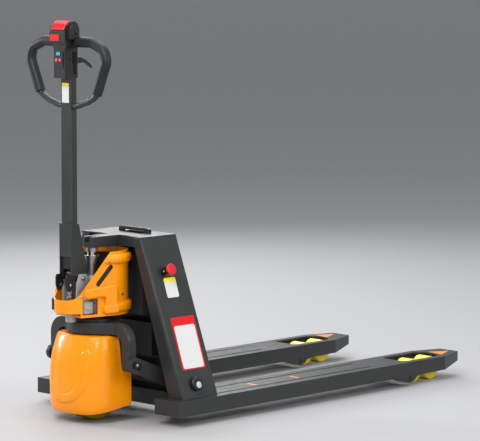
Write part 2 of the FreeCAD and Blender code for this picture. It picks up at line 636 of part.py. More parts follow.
yoke = Body("yoke_frame")
front = "yoke_x - yoke_depth / 2"
inner = "yoke_half - yoke_leg"
foot = "pin_z - leg_foot"
arch = yoke.sketch("YZ", front)
arch.polygon([("-yoke_half", foot), ("-(%s)" % inner, foot), ("-(%s)" % inner, "yoke_beam_z"),
              (inner, "yoke_beam_z"), (inner, foot), ("yoke_half", foot), ("yoke_half", "yoke_top"),
              ("-yoke_half", "yoke_top")])
yoke.pad(arch, "yoke_depth")
for way in (-1, 1):
    bow = yoke.sketch("XY", "yoke_beam_z")
    bow.link(("0", "0", "hub_radius"),
             ("yoke_x", "%d * (yoke_half - yoke_bend - yoke_depth / 2)" % way, "yoke_depth / 2"))
    yoke.pad(bow, "yoke_beam")
yoke.pocket(yoke.sketch("XY", "yoke_top").circle(("0", "0"), "bearing_outer + fit"), through=True)
for way in (-1, 1):
    yoke.round("yoke_bend", lambda edge: runs_along(edge, 0)
               and edge_at(edge, y=way * value("yoke_half"), z=value("yoke_top")))
    yoke.round("yoke_bend - yoke_leg + 6", lambda edge: runs_along(edge, 0)
               and edge_at(edge, y=way * value(inner), z=value("yoke_beam_z")))
yoke.round("yoke_depth / 2 - 0.2", lambda edge: runs_along(edge, 1) and edge_at(edge, z=value(foot)))
yoke.pocket(yoke.sketch("XZ").circle(("yoke_x", "pin_z"), "pin_radius + fit"), middle=True, through=True)

pin_bars = []
for side in (-1, 1):
    length = "yoke_leg + rocker_gap + rocker_wall + 3"
    start = "yoke_half - yoke_leg" if side > 0 else "-(yoke_half - yoke_leg + %s)" % length
    shank = rod("pin_shank", "Y", "pin_radius", ("yoke_x", start, "pin_z"), length)
    head_y = "yoke_half - yoke_leg + %s" % length
    head_y = head_y if side > 0 else "-(%s) - 5" % head_y
    pin_bars.append(fuse("yoke_pin", [shank, rod("pin_head", "Y", "pin_radius + 2", ("yoke_x", head_y, "pin_z"), "5")]))
node(group("yoke_pins", pin_bars), "yoke_pins")

node(rod("steering_bearing", "Z", "bearing_outer", ("0", "0", "yoke_beam_z"), "yoke_beam",
         "spindle_radius + fit"), "steering_bearing")

rocker = Body("rocker")
rocker.pad(rocker.sketch("XZ").circle(("shaft_x", "shaft_z"), "tube_radius"),
           "2 * (fork_y + rod_width / 2 + side_play + lug_wall)", middle=True)
for side in (-1, 1):
    arm_start = "arm_inner" if side < 0 else "-arm_inner - rocker_wall"
    arm = rocker.sketch("XZ", arm_start)
    rocker.pad(arm.link(("yoke_x", "pin_z", "rocker_eye"), ("shaft_x", "shaft_z", "tube_radius + 4")),
               "rocker_wall")
    for lug in (-1, 1):
        gap = "rod_width / 2 + side_play"
        near = "%d * fork_y + %s" % (-side, gap if lug > 0 else "-(%s) - lug_wall" % gap)
        ear = rocker.sketch("XZ", near)
        rocker.pad(ear.link(("rod_front_x", "rod_front_z", "lug_radius"), ("shaft_x", "shaft_z", "tube_radius - 2")),
                   "lug_wall")
    slot = rocker.sketch("XZ", arm_start)
    reach = "eye_play * cos(rocker_start)"
    rise = "eye_play * sin(rocker_start)"
    slot.link(("yoke_x", "pin_z", "pin_radius + pin_slack"),
              ("yoke_x + " + reach, "pin_z - " + rise, "pin_radius + pin_slack + 0.01"))
    rocker.pocket(slot, "rocker_wall", back=True)
    lug_pin = rocker.sketch("XZ", "%d * fork_y" % -side)
    rocker.pad(lug_pin.circle(("rod_front_x", "rod_front_z"), "link_pin"),
               "rod_width + 2 * side_play + 2 * lug_wall", middle=True)
rocker.pocket(rocker.sketch("XZ").circle(("shaft_x", "shaft_z"), "shaft_radius + fit"), middle=True, through=True)


def push_rod(label, side):
    """The joggled bar inside a fork, with an eye at each end that has play round its pin."""
    body = Body(label, y="%d * fork_y" % side)
    body.pad(body.sketch("XZ").polygon(
        [("rod_front_x", "rod_front_z - rod_height / 2"), ("rod_front_x + 40", "rod_rear_z - rod_height / 2"),
         ("rod_rear_x", "rod_rear_z - rod_height / 2"), ("rod_rear_x", "rod_rear_z + rod_height / 2"),
         ("rod_front_x + 40", "rod_rear_z + rod_height / 2"),
         ("rod_front_x", "rod_front_z + rod_height / 2")]), "rod_width", middle=True)
    for x, z in (("rod_front_x", "rod_front_z - lug_arm * rod_rise"),
                 ("rod_rear_x", "rod_rear_z + load_lug_arm * load_rise")):
        body.pad(body.sketch("XZ").circle((x, z), "rod_eye"), "rod_width", middle=True)
        body.pocket(body.sketch("XZ").circle((x, z), "link_pin + rod_play"), middle=True, through=True)


def load_bracket(label, side):
    """Two cheeks on a pivot tube: a lug for the push rod above it, the bogie's stub pins behind."""
    body = Body(label, y="%d * fork_y" % side)
    pivot = ("load_x", "load_z", "load_boss")
    for ends in ((pivot, ("bogie_x", "roller_radius", "load_lug")),
                 (pivot, ("rod_rear_x", "rod_rear_z", "load_lug - 1"))):
        body.pad(body.sketch("XZ").link(*ends), "2 * load_half", middle=True)
    gap = body.sketch("XZ")
    gap.polygon([("load_x - 80", "0"), ("bogie_x + 60", "0"), ("bogie_x + 60", "fork_top"),
                 ("load_x - 80", "fork_top")])
    body.pocket(gap, "2 * (load_half - load_cheek)", middle=True)
    body.pad(body.sketch("XZ").circle(("load_x", "load_z"), "load_boss"), "2 * load_half", middle=True)
    body.pad(body.sketch("XZ").circle(("rod_rear_x", "rod_rear_z"), "link_pin"), "2 * load_half", middle=True)
    for way in (-1, 1):
        stub = body.sketch("XZ", "%d * load_half" % way)
        body.pad(stub.circle(("bogie_x", "roller_radius"), "bogie_pin"),
                 "load_cheek + side_play + bogie_wall", back=way > 0)
    body.pocket(body.sketch("XZ").circle(("load_x", "load_z"), "load_pin + fit"), middle=True, through=True)


def bogie(label, side):
    """Two side plates with the axles of a pair of rollers."""
    body = Body(label, y="%d * fork_y" % side)
    ends = [("bogie_x + %d * roller_pitch / 2" % way, "roller_radius", "bogie_height / 2") for way in (-1, 1)]
    body.pad(body.sketch("XZ").link(ends[0], (ends[1][0], ends[1][1], "bogie_height / 2 - 0.01")),
             "2 * bogie_half", middle=True)
    gap = body.sketch("XZ")
    gap.polygon([("bogie_x - roller_pitch", "0"), ("bogie_x + roller_pitch", "0"),
                 ("bogie_x + roller_pitch", "2 * roller_radius"), ("bogie_x - roller_pitch", "2 * roller_radius")])
    body.pocket(gap, "2 * (bogie_half - bogie_wall)", middle=True)
    for x, z, _ in ends:
        body.pad(body.sketch("XZ").circle((x, z), "roller_axle"), "2 * bogie_half", middle=True)
    hole = body.sketch("XZ").circle(("bogie_x", "roller_radius"), "bogie_pin + fit")
    body.pocket(hole, middle=True, through=True)


def wheel(label, x, y, z, radius, bore, width, rim):
    """A ring turned about the Y line through (x, z)."""
    half = value("(%s) / 2" % width)
    outer, hole, shoulder = value(radius), value(bore), value(rim)
    profile = [(hole, -half), (outer - shoulder, -half), (outer, shoulder - half), (outer, half - shoulder),
               (outer - shoulder, half), (hole, half), (hole, -half)]
    centre = Vector(value(x), value(y), value(z))
    wire = Part.makePolygon([centre + Vector(r, along, 0) for r, along in profile])
    return Part.Face(wire).revolve(centre, Vector(0, 1, 0), 360)


for name, side in (("left", 1), ("right", -1)):
    push_rod("push_rod_" + name, side)
    load_bracket("load_bracket_" + name, side)
    bogie("bogie_" + name, side)
    for end, way in (("front", -1), ("rear", 1)):
        fixed("roller_%s_%s" % (end, name),
              wheel("roller", "bogie_x + %d * roller_pitch / 2" % way, "%d * fork_y" % side,
                    "roller_radius", "roller_radius", "roller_axle + fit", "roller_width", "3"))


# ---------------------------------------------------------------- drive unit

bracket = Body("drive_bracket")
gap = "wheel_width / 2 + bracket_gap"
for way in (-1, 1):
    leg = bracket.sketch("XZ", ("%s" % gap) if way < 0 else "-(%s) - bracket_wall" % gap)
    leg.polygon([("-26", "wheel_radius - 24"), ("26", "wheel_radius - 24"), ("46", "bracket_top - 2"),
                 ("-46", "bracket_top - 2")])
    bracket.pad(leg, "bracket_wall")
    if way < 0:
        plate = bracket.sketch("XY", "bracket_top - bracket_plate")
        bracket.pad(plate.circle(("0", "0"), "spindle_radius + 22"), "bracket_plate")
bracket.pad(bracket.sketch("XY", "bracket_top").circle(("0", "0"), "spindle_radius"), "pump_floor + tub_wall - bracket_top")
flange = bracket.sketch("XY", "yoke_top + slack")
bracket.pad(flange.circle(("0", "0"), "bearing_outer + 3"), "8")
bracket.pocket(bracket.sketch("XZ").circle(("0", "wheel_radius"), "wheel_axle + fit"), middle=True, through=True)

fixed("drive_hub", wheel("hub", "0", "0", "wheel_radius", "wheel_hub", "wheel_axle + fit", "wheel_width - 6", "2"))
fixed("drive_tyre", wheel("tyre", "0", "0", "wheel_radius", "wheel_radius", "wheel_hub", "wheel_width", "5"))
axle_half = "wheel_width / 2 + bracket_gap + bracket_wall + 3"
node(rod("drive_axle", "Y", "wheel_axle", ("0", "-(%s)" % axle_half, "wheel_radius"), "2 * (%s)" % axle_half),
     "drive_axle", "0")
motor_y = "-(%s) - slack - motor_length" % axle_half
motor = rod("motor_can", "Y", "motor_radius", ("0", motor_y, "wheel_radius"), "motor_length")
node(motor, "drive_motor", "0")


def cover_outline(level, nose, half, rear, inset=0):
    """A plan outline: straight sides, and a nose that is fuller than an ellipse."""
    straight = value("cover_straight_x")
    reach, breadth = nose + straight - inset, half - inset
    steps = 16
    points = []
    for i in range(steps + 1):
        angle = math.pi * (i / steps - 0.5)
        along = abs(math.cos(angle)) ** 0.86 * reach
        across = math.copysign(abs(math.sin(angle)) ** 0.86, math.sin(angle)) * breadth
        points.append(Vector(straight - along, across, level))
    nose_curve = Part.BSplineCurve()
    nose_curve.interpolate(points)
    first, last = points[0], points[-1]
    corners = [last, Vector(rear, breadth, level), Vector(rear, -breadth, level), first]
    edges = [nose_curve.toShape()] + [Part.makeLine(corners[i], corners[i + 1]) for i in range(3)]
    return Part.Wire(edges)


def drive_cover():
    """The glossy shell over the drive wheel, open below and behind."""
    nose, half = value("cover_nose"), value("cover_half")
    low, high = value("cover_low"), value("cover_top")
    wall, crown, tuck = value("cover_wall"), value("cover_crown"), value("cover_tuck")
    skirt = value("cover_skirt_x")

    def shrink(z, share, power):
        """How far the outline at a height stands inside the widest one."""
        rise = max(0, (z - low - 70) / (high - low - 70))
        fall = min(1, max(0, 1 - (z - low) / 40))
        return crown * share * rise ** power + tuck * fall ** 2

    def solid(inset):
        levels = [low + (high - inset - low) * step / 10 for step in range(11)]
        if inset:
            levels.insert(0, low - 4 * inset)
        rear = skirt + 9 * inset
        wires = [cover_outline(z, nose - shrink(z, 1, 2.2), half - shrink(z, 0.36, 4), rear, inset)
                 for z in levels]
        return Part.makeLoft(wires, True, False)

    outer = solid(0)
    rim = [edge for edge in outer.Edges if min(v.Z for v in edge.Vertexes) > high - 0.1
           and abs(edge.CenterOfMass.x - skirt) > 1]
    outer = outer.makeFillet(crown * 0.3, rim)
    shell = outer.cut(solid(wall))
    back_x, skirt_z, fillet = value("cover_back_x"), value("cover_skirt_z"), value("cover_sweep")
    corner = Part.makeBox(200, 400, 200, Vector(back_x, -200, skirt_z))
    corner = corner.makeFillet(fillet, [edge for edge in corner.Edges
                                        if edge_at(edge, x=back_x, z=skirt_z)])
    shell = shell.cut(corner)
    hem = [(-nose - 20, low - 20), (-nose - 20, low), (-nose * 0.7, low), (skirt + 5, value("cover_bottom")),
           (skirt + 5, low - 20)]
    points = [Vector(x, -200, z) for x, z in hem]
    shell = shell.cut(Part.Face(Part.makePolygon(points + points[:1])).extrude(Vector(0, 400, 0)))
    column = Part.makeCylinder(value("spindle_radius + fit"), 80, Vector(0, 0, high - 40))
    return shell.cut(column)


fixed("drive_cover", drive_cover())


# ---------------------------------------------------------------- pump

def disc_hull(radius_in, radius_out, low, high):
    """An upright prism round two circles: the front ring's and the drum's."""
    flare = math.radians(value("tub_flare"))
    ring, drum = Vector(value("ring_x"), 0, low), Vector(value("drum_x"), 0, low)
    left = Vector(-math.sin(flare), math.cos(flare), 0)
    right = Vector(-math.sin(flare), -math.cos(flare), 0)
    ends = [ring + left * radius_in, drum + left * radius_out, drum + right * radius_out, ring + right * radius_in]
    edges = [Part.makeLine(ends[0], ends[1]),
             Part.Arc(ends[1], drum + Vector(radius_out, 0, 0), ends[2]).toShape(),
             Part.makeLine(ends[2], ends[3]),
             Part.Arc(ends[3], ring - Vector(radius_in, 0, 0), ends[0]).toShape()]
    return Part.Face(Part.Wire(edges)).extrude(Vector(0, 0, high - low))


def on_flank(corners, side, inward, outward, radius=0, soft=0):
    """A slab on a flank of the tub: its outline in (x, z), its depth across the flank's face,
    its corners' radius and the radius along its outer rim."""
    flare = math.radians(value("tub_flare"))
    normal = Vector(-math.sin(flare), side * math.cos(flare), 0)
    start = Vector(value("ring_x"), 0, 0) + normal * value("ring_radius")
    along = Vector(math.cos(flare), side * math.sin(flare), 0)
    points = [start + along * ((x - start.x) / along.x) + Vector(0, 0, z) - normal * inward for x, z in corners]
    slab = Part.Face(Part.makePolygon(points + points[:1])).extrude(normal * (inward + outward))
    if radius:
        upright = [edge for edge in slab.Edges if edge.tangentAt(0).cross(normal).Length < 1e-3]
        slab = slab.makeFillet(radius, upright)
    if soft:
        level = (start + normal * outward).dot(normal)
        rim = [edge for edge in slab.Edges if all(abs(v.Point.dot(normal) - level) < 1e-3 for v in edge.Vertexes)]
        slab = slab.makeFillet(soft, rim)
    return slab


def flank_link(start, end, radius, side, inward, outward):
    """A long hole through a flank, from one (x, z) to another."""
    flare = math.radians(value("tub_flare"))
    normal = Vector(-math.sin(flare), side * math.cos(flare), 0)
    base = Vector(value("ring_x"), 0, 0) + normal * value("ring_radius")
    along = Vector(math.cos(flare), side * math.sin(flare), 0)
    ends = [base + along * ((x - base.x) / along.x) + Vector(0, 0, z) - normal * inward for x, z in (start, end)]
    way = (ends[1] - ends[0]).normalize()
    across = way.cross(normal) * radius
    corners = [ends[0] + across, ends[1] + across, ends[1] - across, ends[0] - across]
    slab = Part.Face(Part.makePolygon(corners + corners[:1])).extrude(normal * (inward + outward))
    for point in ends:
        slab = slab.fuse(Part.makeCylinder(radius, inward + outward, point, normal))
    return slab.removeSplitter()


def pump_cover():
    """The orange tub round the pump: a low ring in front, a drum behind and two ribbed flanks."""
    ring, drum, wall = value("ring_radius"), value("drum_radius"), value("tub_wall")
    low, high = value("pump_floor"), value("tub_top")
    rib, bulge = value("rib"), value("bulge")
    outer = disc_hull(ring, drum, low, high)
    for level, height in ((high - 42, 34), (low + 7, 38)):
        band = Part.makeCylinder(drum + bulge, height, Vector(value("drum_x"), 0, level))
        outer = outer.fuse(band.makeFillet(15, [edge for edge in band.Edges if len(edge.Vertexes) == 1]))
    foot_x, foot_z, head_x = value("slope_foot_x"), value("slope_foot_z"), value("slope_head_x")
    for side in (-1, 1):
        hook = [(-96, 405), (-18, 409), (-18, 372), (24, 372), (24, 448), (-90, 435)]
        outer = outer.fuse(on_flank(hook, side, 10, rib, 12, 6))
        box = [(-26, 352), (30, 352), (30, 385), (-26, 380)]
        outer = outer.fuse(on_flank(box, side, 10, rib + 1, 11, 6))
    rim, slope = value("ring_top"), (high - foot_z) / (head_x - foot_x)
    corner_x = foot_x - (foot_z - rim) / slope
    top_cut = [(-300, high + 50), (-300, rim), (corner_x, rim), (head_x, high), (head_x, high + 50)]
    points = [Vector(x, -200, z) for x, z in top_cut]
    above = Part.Face(Part.makePolygon(points + points[:1])).extrude(Vector(0, 400, 0))
    above = above.makeFillet(45, [edge for edge in above.Edges if edge_at(edge, x=corner_x, z=rim)])
    outer = outer.cut(above).removeSplitter()
    step_x = value("ring_x - ring_radius / 3")
    outer = outer.cut(Part.makeBox(200, 400, 14, Vector(step_x - 200, -200, low)))
    inner = disc_hull(ring - wall, drum - wall, low + wall, high + 10)
    tub = outer.cut(inner)
    tub = tub.cut(Part.makeCylinder(value("spindle_radius + fit"), 40, Vector(0, 0, low - 20)))
    tub = tub.cut(Part.makeCylinder(value("plunger_radius + 12"), 40, Vector(value("plunger_x"), 0, low - 20)))
    for side in (-1, 1):
        tub = tub.cut(flank_link((-40, 450), (4, 501), 8.5, side, 30, 30))
    window = [(-97, 352), (-42, 352), (-42, 403), (-97, 403)]
    return tub.cut(on_flank(window, -1, 20, 20, 3))


fixed("pump_cover", pump_cover())

barrel_foot = "pump_floor + tub_wall"
tank = Body("pump_body")
tank.pad(tank.sketch("XY", barrel_foot).link(("0", "0", "tank_radius"), ("48", "0", "tank_radius + 4")),
         "tank_top - (%s)" % barrel_foot)
tank.pad(tank.sketch("XY", barrel_foot).link(("plunger_x", "0", "plunger_radius + 8"), ("0", "0", "ear_half")),
         "plunger_seat - 12 - (%s)" % barrel_foot)
for way in (-1, 1):
    ear = tank.sketch("XZ", "ear_half - pump_ear" if way > 0 else "-ear_half")
    ear.polygon([("tiller_pivot_x - 26", "plunger_seat - 20"), ("-20", "plunger_seat - 20"),
                 ("-20", "tiller_pivot_z - 30"), ("tiller_pivot_x + 16", "tiller_pivot_z + 12"),
                 ("tiller_pivot_x - 12", "tiller_pivot_z + 14"), ("tiller_pivot_x - 24", "tiller_pivot_z - 16")])
    tank.pad(ear, "pump_ear")
tank.pocket(tank.sketch("XZ").circle(("tiller_pivot_x", "tiller_pivot_z"), "tiller_pin + fit"),
            middle=True, through=True)
tank.pocket(tank.sketch("XY", "tank_top").circle(("0", "0"), "barrel_radius + fit"), through=True)
boss = tank.sketch("XY", barrel_foot).circle(("plunger_x", "0"), "plunger_radius + 8")
tank.pad(boss, "%s - neck_foot" % barrel_foot, back=True)
neck = tank.sketch("XY", "plunger_seat - 12").circle(("plunger_x", "0"), "plunger_radius + fit")
tank.pocket(neck, "plunger_seat - 12 - neck_foot - 4")

node(rod("oil_cylinder", "Z", "barrel_radius", ("0", "0", barrel_foot), "barrel_top - (%s)" % barrel_foot,
         "ram_radius + fit"), "oil_cylinder")
ram_foot = "pump_floor + 8"
node(rod("lift_ram", "Z", "ram_radius", ("0", "0", ram_foot), "ram_top - (%s)" % ram_foot), "lift_ram", "0")
node(rod("ram_cap", "Z", "ram_radius + 3", ("0", "0", "ram_top"), "tongue_seat - slack - ram_top"), "ram_cap", "0")

plunger = rod("plunger_bar", "Z", "plunger_radius", ("plunger_x", "0", "plunger_top - 4 - 105"), "105")
disc = rod("plunger_disc", "Z", "plunger_cap", ("plunger_x", "0", "plunger_top - 4"), "4")
node(fuse("pump_plunger", [plunger, disc]), "pump_plunger")


def spring():
    """A coil spring between the pump's neck and the plunger's cap."""
    foot, head = value("plunger_seat - 12 + slack"), value("plunger_top - 4 - slack")
    wire, turns = 1.6, 6
    radius = value("plunger_cap") - wire - 0.4
    coil = Part.makeHelix((head - foot - 2 * wire) / turns, head - foot - 2 * wire, radius)
    ring = Part.Wire(Part.makeCircle(wire, Vector(radius, 0, 0), Vector(0, 1, 0)))
    pipe = Part.Wire(coil).makePipeShell([ring], True, True)
    move = FreeCAD.Matrix()
    move.move(Vector(value("plunger_x"), 0, foot + wire))
    return pipe.transformed(move, True)


fixed("pump_spring", spring())

valve = block("valve_case", ("-88", "-ear_half - 27", "356"), ("34", "27", "36"))
knob = rod("valve_knob", "Y", "7", ("-71", "-68", "374"), "6")
node(fuse("release_valve", [valve, knob]), "release_valve")


# ---------------------------------------------------------------- tiller

tiller = Body("tiller_tube")
rear_x = "tiller_front_x + tiller_depth"


def tiller_section(level, front_x, depth, width):
    half = "(%s) / 2" % width
    end = "%s + %s" % (front_x, depth)
    return tiller.sketch("XY", level).polygon([(front_x, "-" + half), (end, "-" + half), (end, half), (front_x, half)])


tiller.pad(tiller_section("gusset_top - 3", "tiller_front_x", "tiller_depth", "tiller_width"),
           "tiller_top - gusset_top + 3")
skin = "(gusset_width - tiller_width) / 2"
gusset_x = "tiller_front_x - 5"
tiller.loft([tiller_section("gusset_foot_z", gusset_x, "gusset_foot", "gusset_width"),
             tiller_section("(gusset_foot_z + gusset_top) / 2 + 20", gusset_x, "(gusset_foot + tiller_depth) / 2 - 2", "gusset_width"),
             tiller_section("gusset_top", gusset_x, "tiller_depth + 5.5", "gusset_width")])
mouth = tiller.sketch("XY", "gusset_foot_z")
mouth_half = "gusset_width / 2 - gusset_wall"
mouth.polygon([("%s + gusset_wall" % gusset_x, "-(%s)" % mouth_half),
               ("%s + gusset_foot - gusset_wall" % gusset_x, "-(%s)" % mouth_half),
               ("%s + gusset_foot - gusset_wall" % gusset_x, mouth_half),
               ("%s + gusset_wall" % gusset_x, mouth_half)])
tiller.pocket(mouth, "62", back=True)
front_gap = tiller.sketch("XZ")
front_gap.polygon([("%s - 1" % gusset_x, "gusset_foot_z - 1"), ("%s + gusset_wall + 1" % gusset_x, "gusset_foot_z - 1"),
                   ("%s + gusset_wall + 1" % gusset_x, "gusset_foot_z + 58"), ("%s - 1" % gusset_x, "gusset_foot_z + 58")])
tiller.pocket(front_gap, "2 * (%s)" % mouth_half, middle=True)
tiller.round("3", lambda edge: runs_along(edge, 2) and edge.Length > 300)

base = Body("tiller_base")
cheek_half = "gusset_width / 2 - gusset_wall - slack"
cheeks = base.sketch("XZ")
cheeks.polygon([("tiller_front_x + 0", "gusset_foot_z + 60"), ("tiller_front_x + 46", "gusset_foot_z + 60"),
                ("tiller_front_x + 56", "gusset_foot_z + 6"), ("tiller_pivot_x + 14", "tiller_pivot_z + 2"),
                ("tiller_pivot_x + 8", "tiller_pivot_z - 13"), ("tiller_pivot_x - 8", "tiller_pivot_z - 14"),
                ("tiller_front_x + 4", "tiller_pivot_z - 4"), ("tiller_front_x - 1", "gusset_foot_z - 8")])
base.pad(cheeks, "2 * (%s)" % cheek_half, middle=True)
pocket = base.sketch("XZ")
pocket.polygon([("tiller_front_x - 20", "tiller_pivot_z - 30"), ("tiller_front_x + 80", "tiller_pivot_z - 30"),
                ("tiller_front_x + 80", "cam_rest_z + cam_radius + 4"),
                ("tiller_front_x - 20", "cam_rest_z + cam_radius + 4")])
base.pocket(pocket, "2 * (%s - cheek)" % cheek_half, middle=True)
for x, z, radius in (("tiller_pivot_x", "tiller_pivot_z", "tiller_pin + fit"),
                     ("cam_rest_x", "cam_rest_z", "5 + fit")):
    base.pocket(base.sketch("XZ").circle((x, z), radius), middle=True, through=True)

roller = rod("cam_ring", "Y", "cam_radius", ("cam_rest_x", "-cam_width / 2", "cam_rest_z"), "cam_width")
cam_pin = rod("cam_pin", "Y", "5", ("cam_rest_x", "-(%s)" % cheek_half, "cam_rest_z"), "2 * (%s)" % cheek_half)
node(fuse("cam_roller", [roller, cam_pin]), "cam_roller")
node(rod("tiller_pivot", "Y", "tiller_pin", ("tiller_pivot_x", "-ear_half - 3", "tiller_pivot_z"), "2 * (ear_half + 3)"),
     "tiller_pivot", "tiller_pivot_x")


def rounded_path(points, radius):
    """Straight runs joined by arcs that touch them."""
    edges = []
    start = points[0]
    for before, corner, after in zip(points, points[1:], points[2:]):
        inward, outward = (before - corner).normalize(), (after - corner).normalize()
        half = inward.getAngle(outward) / 2
        reach = min(radius / math.tan(half), 0.48 * min((before - corner).Length, (after - corner).Length))
        bend = reach * math.tan(half)
        middle = corner + (inward + outward).normalize() * (bend / math.sin(half) - bend)
        first, last = corner + inward * reach, corner + outward * reach
        edges += [Part.makeLine(start, first), Part.Arc(first, middle, last).toShape()]
        start = last
    return Part.Wire(edges + [Part.makeLine(start, points[-1])])


def tube_along(points, radius, bend):
    path = rounded_path(points, bend)
    ring = Part.Wire(Part.makeCircle(radius, points[0], points[1] - points[0]))
    return path.makePipeShell([ring], True, False)


def loop_points(side, first_y):
    """The handle's centre line on one side, from the head out and back to the tiller."""
    x, top, half, foot = value("loop_x"), value("loop_top"), value("loop_half"), value("loop_foot")
    corners = [(first_y, top), (112, top), (half - 12, top - 22), (half, top - 58), (132, foot + 34)]
    return [Vector(x, side * y, z) for y, z in corners]


def handle(side):
    points = loop_points(side, value("head_half"))
    x, foot = value("loop_x"), value("loop_foot")
    for y, z in ((96, foot + 16), (42, foot), (value("loop_inner"), foot)):
        points.append(Vector(x, side * y, z))
    return tube_along(points, value("loop_tube"), 34)


def grip(side):
    points = loop_points(side, 50)
    points[-1] = points[-2] + (points[-1] - points[-2]) * 0.93
    sleeve = tube_along(points, value("grip_radius"), 34)
    return sleeve.cut(tube_along(points, value("loop_tube + fit"), 34))


fixed("handle_loop", Part.makeCompound([handle(1), handle(-1)]))
fixed("grip_left", grip(1))
fixed("grip_right", grip(-1))


# ---------------------------------------------------------------- control head

def head_half(label, front):
    """One moulded half of the head: a narrow neck, a broad crown and their cut-outs."""
    body = Body(label)
    split = "-head_split"
    if front:
        profile = [(split, "tiller_top"), (split, "head_top"), ("-head_front + head_crown", "head_top"),
                   ("-head_front + 8", "head_top - 13"), ("-head_front", "head_top - 34"), ("-head_front", "head_shoulder + 14"),
                   ("-neck_front", "head_shoulder"), ("-neck_front", "tiller_top")]
    else:
        profile = [(split, "tiller_top"), ("-head_back", "tiller_top"), ("-head_back", "head_top - 26"),
                   ("-head_back - 8", "head_top - 8"), ("-head_back - 20", "head_top"), (split, "head_top")]
    body.pad(body.sketch("XZ").polygon(profile), "2 * head_half", middle=True)
    for side in (-1, 1):
        flank = body.sketch("YZ", "-head_front - 5")
        flank.polygon([("%d * neck_half" % side, "tiller_top - 5"), ("%d * (head_half + 5)" % side, "tiller_top - 5"),
                       ("%d * (head_half + 5)" % side, "head_shoulder"), ("%d * neck_half" % side, "head_shoulder - 9")])
        body.pocket(flank, "head_front", back=True)
    return body


front_shell = head_half("head_front_shell", True)
seat = front_shell.sketch("XZ")
seat.polygon([("-head_front - 5", "button_foot - slack"), ("-button_back + button_travel + slack", "button_foot - slack"),
              ("-button_back + button_travel + slack", "head_top + 5"), ("-head_front - 5", "head_top + 5")])
front_shell.pocket(seat, "2 * (button_half + slack)", middle=True)
front_shell.pocket(front_shell.sketch("XZ").circle(("throttle_x", "throttle_z"), "throttle_shaft + fit"),
                   middle=True, through=True)
for way in (-1, 1):
    well = front_shell.sketch("YZ", "-neck_front")
    well.circle(("%d * key_pitch / 2 + 3.3" % way, "key_z"), "key_radius + slack")
    front_shell.pocket(well, "5", back=True)

rear_shell = head_half("head_rear_shell", False)
slit = rear_shell.sketch("XZ")
slit.polygon([("lever_pivot_x - 12", "lever_pivot_z - 45"), ("-head_back + 5", "lever_pivot_z - 45"),
              ("-head_back + 5", "lever_pivot_z + 22"), ("lever_pivot_x - 12", "lever_pivot_z + 22")])
rear_shell.pocket(slit, "2 * slot_half", middle=True)
recess = rear_shell.sketch("XZ")
recess.polygon([("-head_back - 10", "lever_pivot_z - 36"), ("-head_back + 5", "lever_pivot_z - 36"),
                ("-head_back + 5", "lever_pivot_z + 20"), ("-head_back - 10", "lever_pivot_z + 20")])
rear_shell.pocket(recess, "2 * neck_half - 6", middle=True)
rear_shell.pocket(rear_shell.sketch("XZ").circle(("throttle_x", "throttle_z"), "throttle_shaft + fit"),
                  middle=True, through=True)
rear_shell.pad(rear_shell.sketch("XZ").circle(("lever_pivot_x", "lever_pivot_z"), "3"), "2 * slot_half", middle=True)

lever = Body("release_lever")
PROFILE = [(-7, 8), (16, 9), (42, 8), (62, 1), (80, -11), (96, -25), (92, -30), (74, -18), (58, -9),
           (44, -12), (28, -11), (16, -10), (-7, -8)]
blade = [("lever_pivot_x + %d" % x, "lever_pivot_z + %d" % z) for x, z in PROFILE]
lever.pad(lever.sketch("XZ").polygon(blade), "2 * lever_half", middle=True)
lever.pocket(lever.sketch("XZ").circle(("lever_pivot_x", "lever_pivot_z"), "3 + fit"), middle=True, through=True)

throttle = Body("throttle")
throttle.pad(throttle.sketch("XZ").circle(("throttle_x", "throttle_z"), "throttle_shaft"), "2 * (head_half + 2)", middle=True)
for way in (-1, 1):
    plane = "head_half + slack" if way > 0 else "-head_half - slack - knob_width"
    wing = throttle.sketch("XZ", plane)
    throttle.pad(wing.link(("throttle_x", "throttle_z", "knob_radius"),
                           ("throttle_x - 14", "throttle_z - 16", "8")), "knob_width")

button = Body("belly_button")
button.pad(button.sketch("XZ").polygon(
    [("-head_front - 1", "button_foot"), ("-button_back", "button_foot"), ("-button_back", "head_top + 1.5"),
     ("-head_front + 24", "head_top + 1.5"), ("-head_front + 9", "head_top - 7"), ("-head_front + 1", "head_top - 20")]),
    "2 * button_half", middle=True)

panel = Body("keypad_panel")
panel.pad(panel.sketch("YZ", "-neck_front - panel_wall").polygon(
    [("-panel_half", "panel_foot"), ("panel_half", "panel_foot"), ("panel_half", "panel_foot + panel_height"),
     ("-panel_half", "panel_foot + panel_height")]), "panel_wall")
for way in (-1, 1):
    hole = panel.sketch("YZ", "-neck_front - panel_wall")
    hole.circle(("%d * key_pitch / 2 + 3.3" % way, "key_z"), "key_radius + slack")
    panel.pocket(hole, "panel_wall", back=True)
node(block("glass", ("-neck_front - panel_wall - 0.8", "-5", "panel_foot + 40"), ("0.8", "17", "10")),
     "display", "-neck_front - panel_wall - 0.8")
for name, way in (("left", 1), ("right", -1)):
    node(rod("key", "X", "key_radius", ("0", "%d * key_pitch / 2 + 3.3" % way, "key_z"), "5"),
         "key_" + name, "-neck_front - panel_wall - 1.8")


# ---------------------------------------------------------------- checks and files

def write_parts():
    """Every object and every sub-part has to be sound before anything is written."""
    doc.recompute()
    for feature in doc.Objects:
        if {"Invalid", "Error"} & set(feature.State):
            raise RuntimeError("%s is %s" % (feature.Label, feature.State))
    for feature in nodes:
        if feature.Shape.isNull() or not feature.Shape.isValid() or not feature.Shape.Solids:
            raise RuntimeError(feature.Label + " has no sound shape")
    os.makedirs("parts", exist_ok=True)
    for feature in nodes:
        feature.Shape.exportStep(os.path.join("parts", feature.Label + ".step"))
    print(len(nodes), "sub-parts")


write_parts()
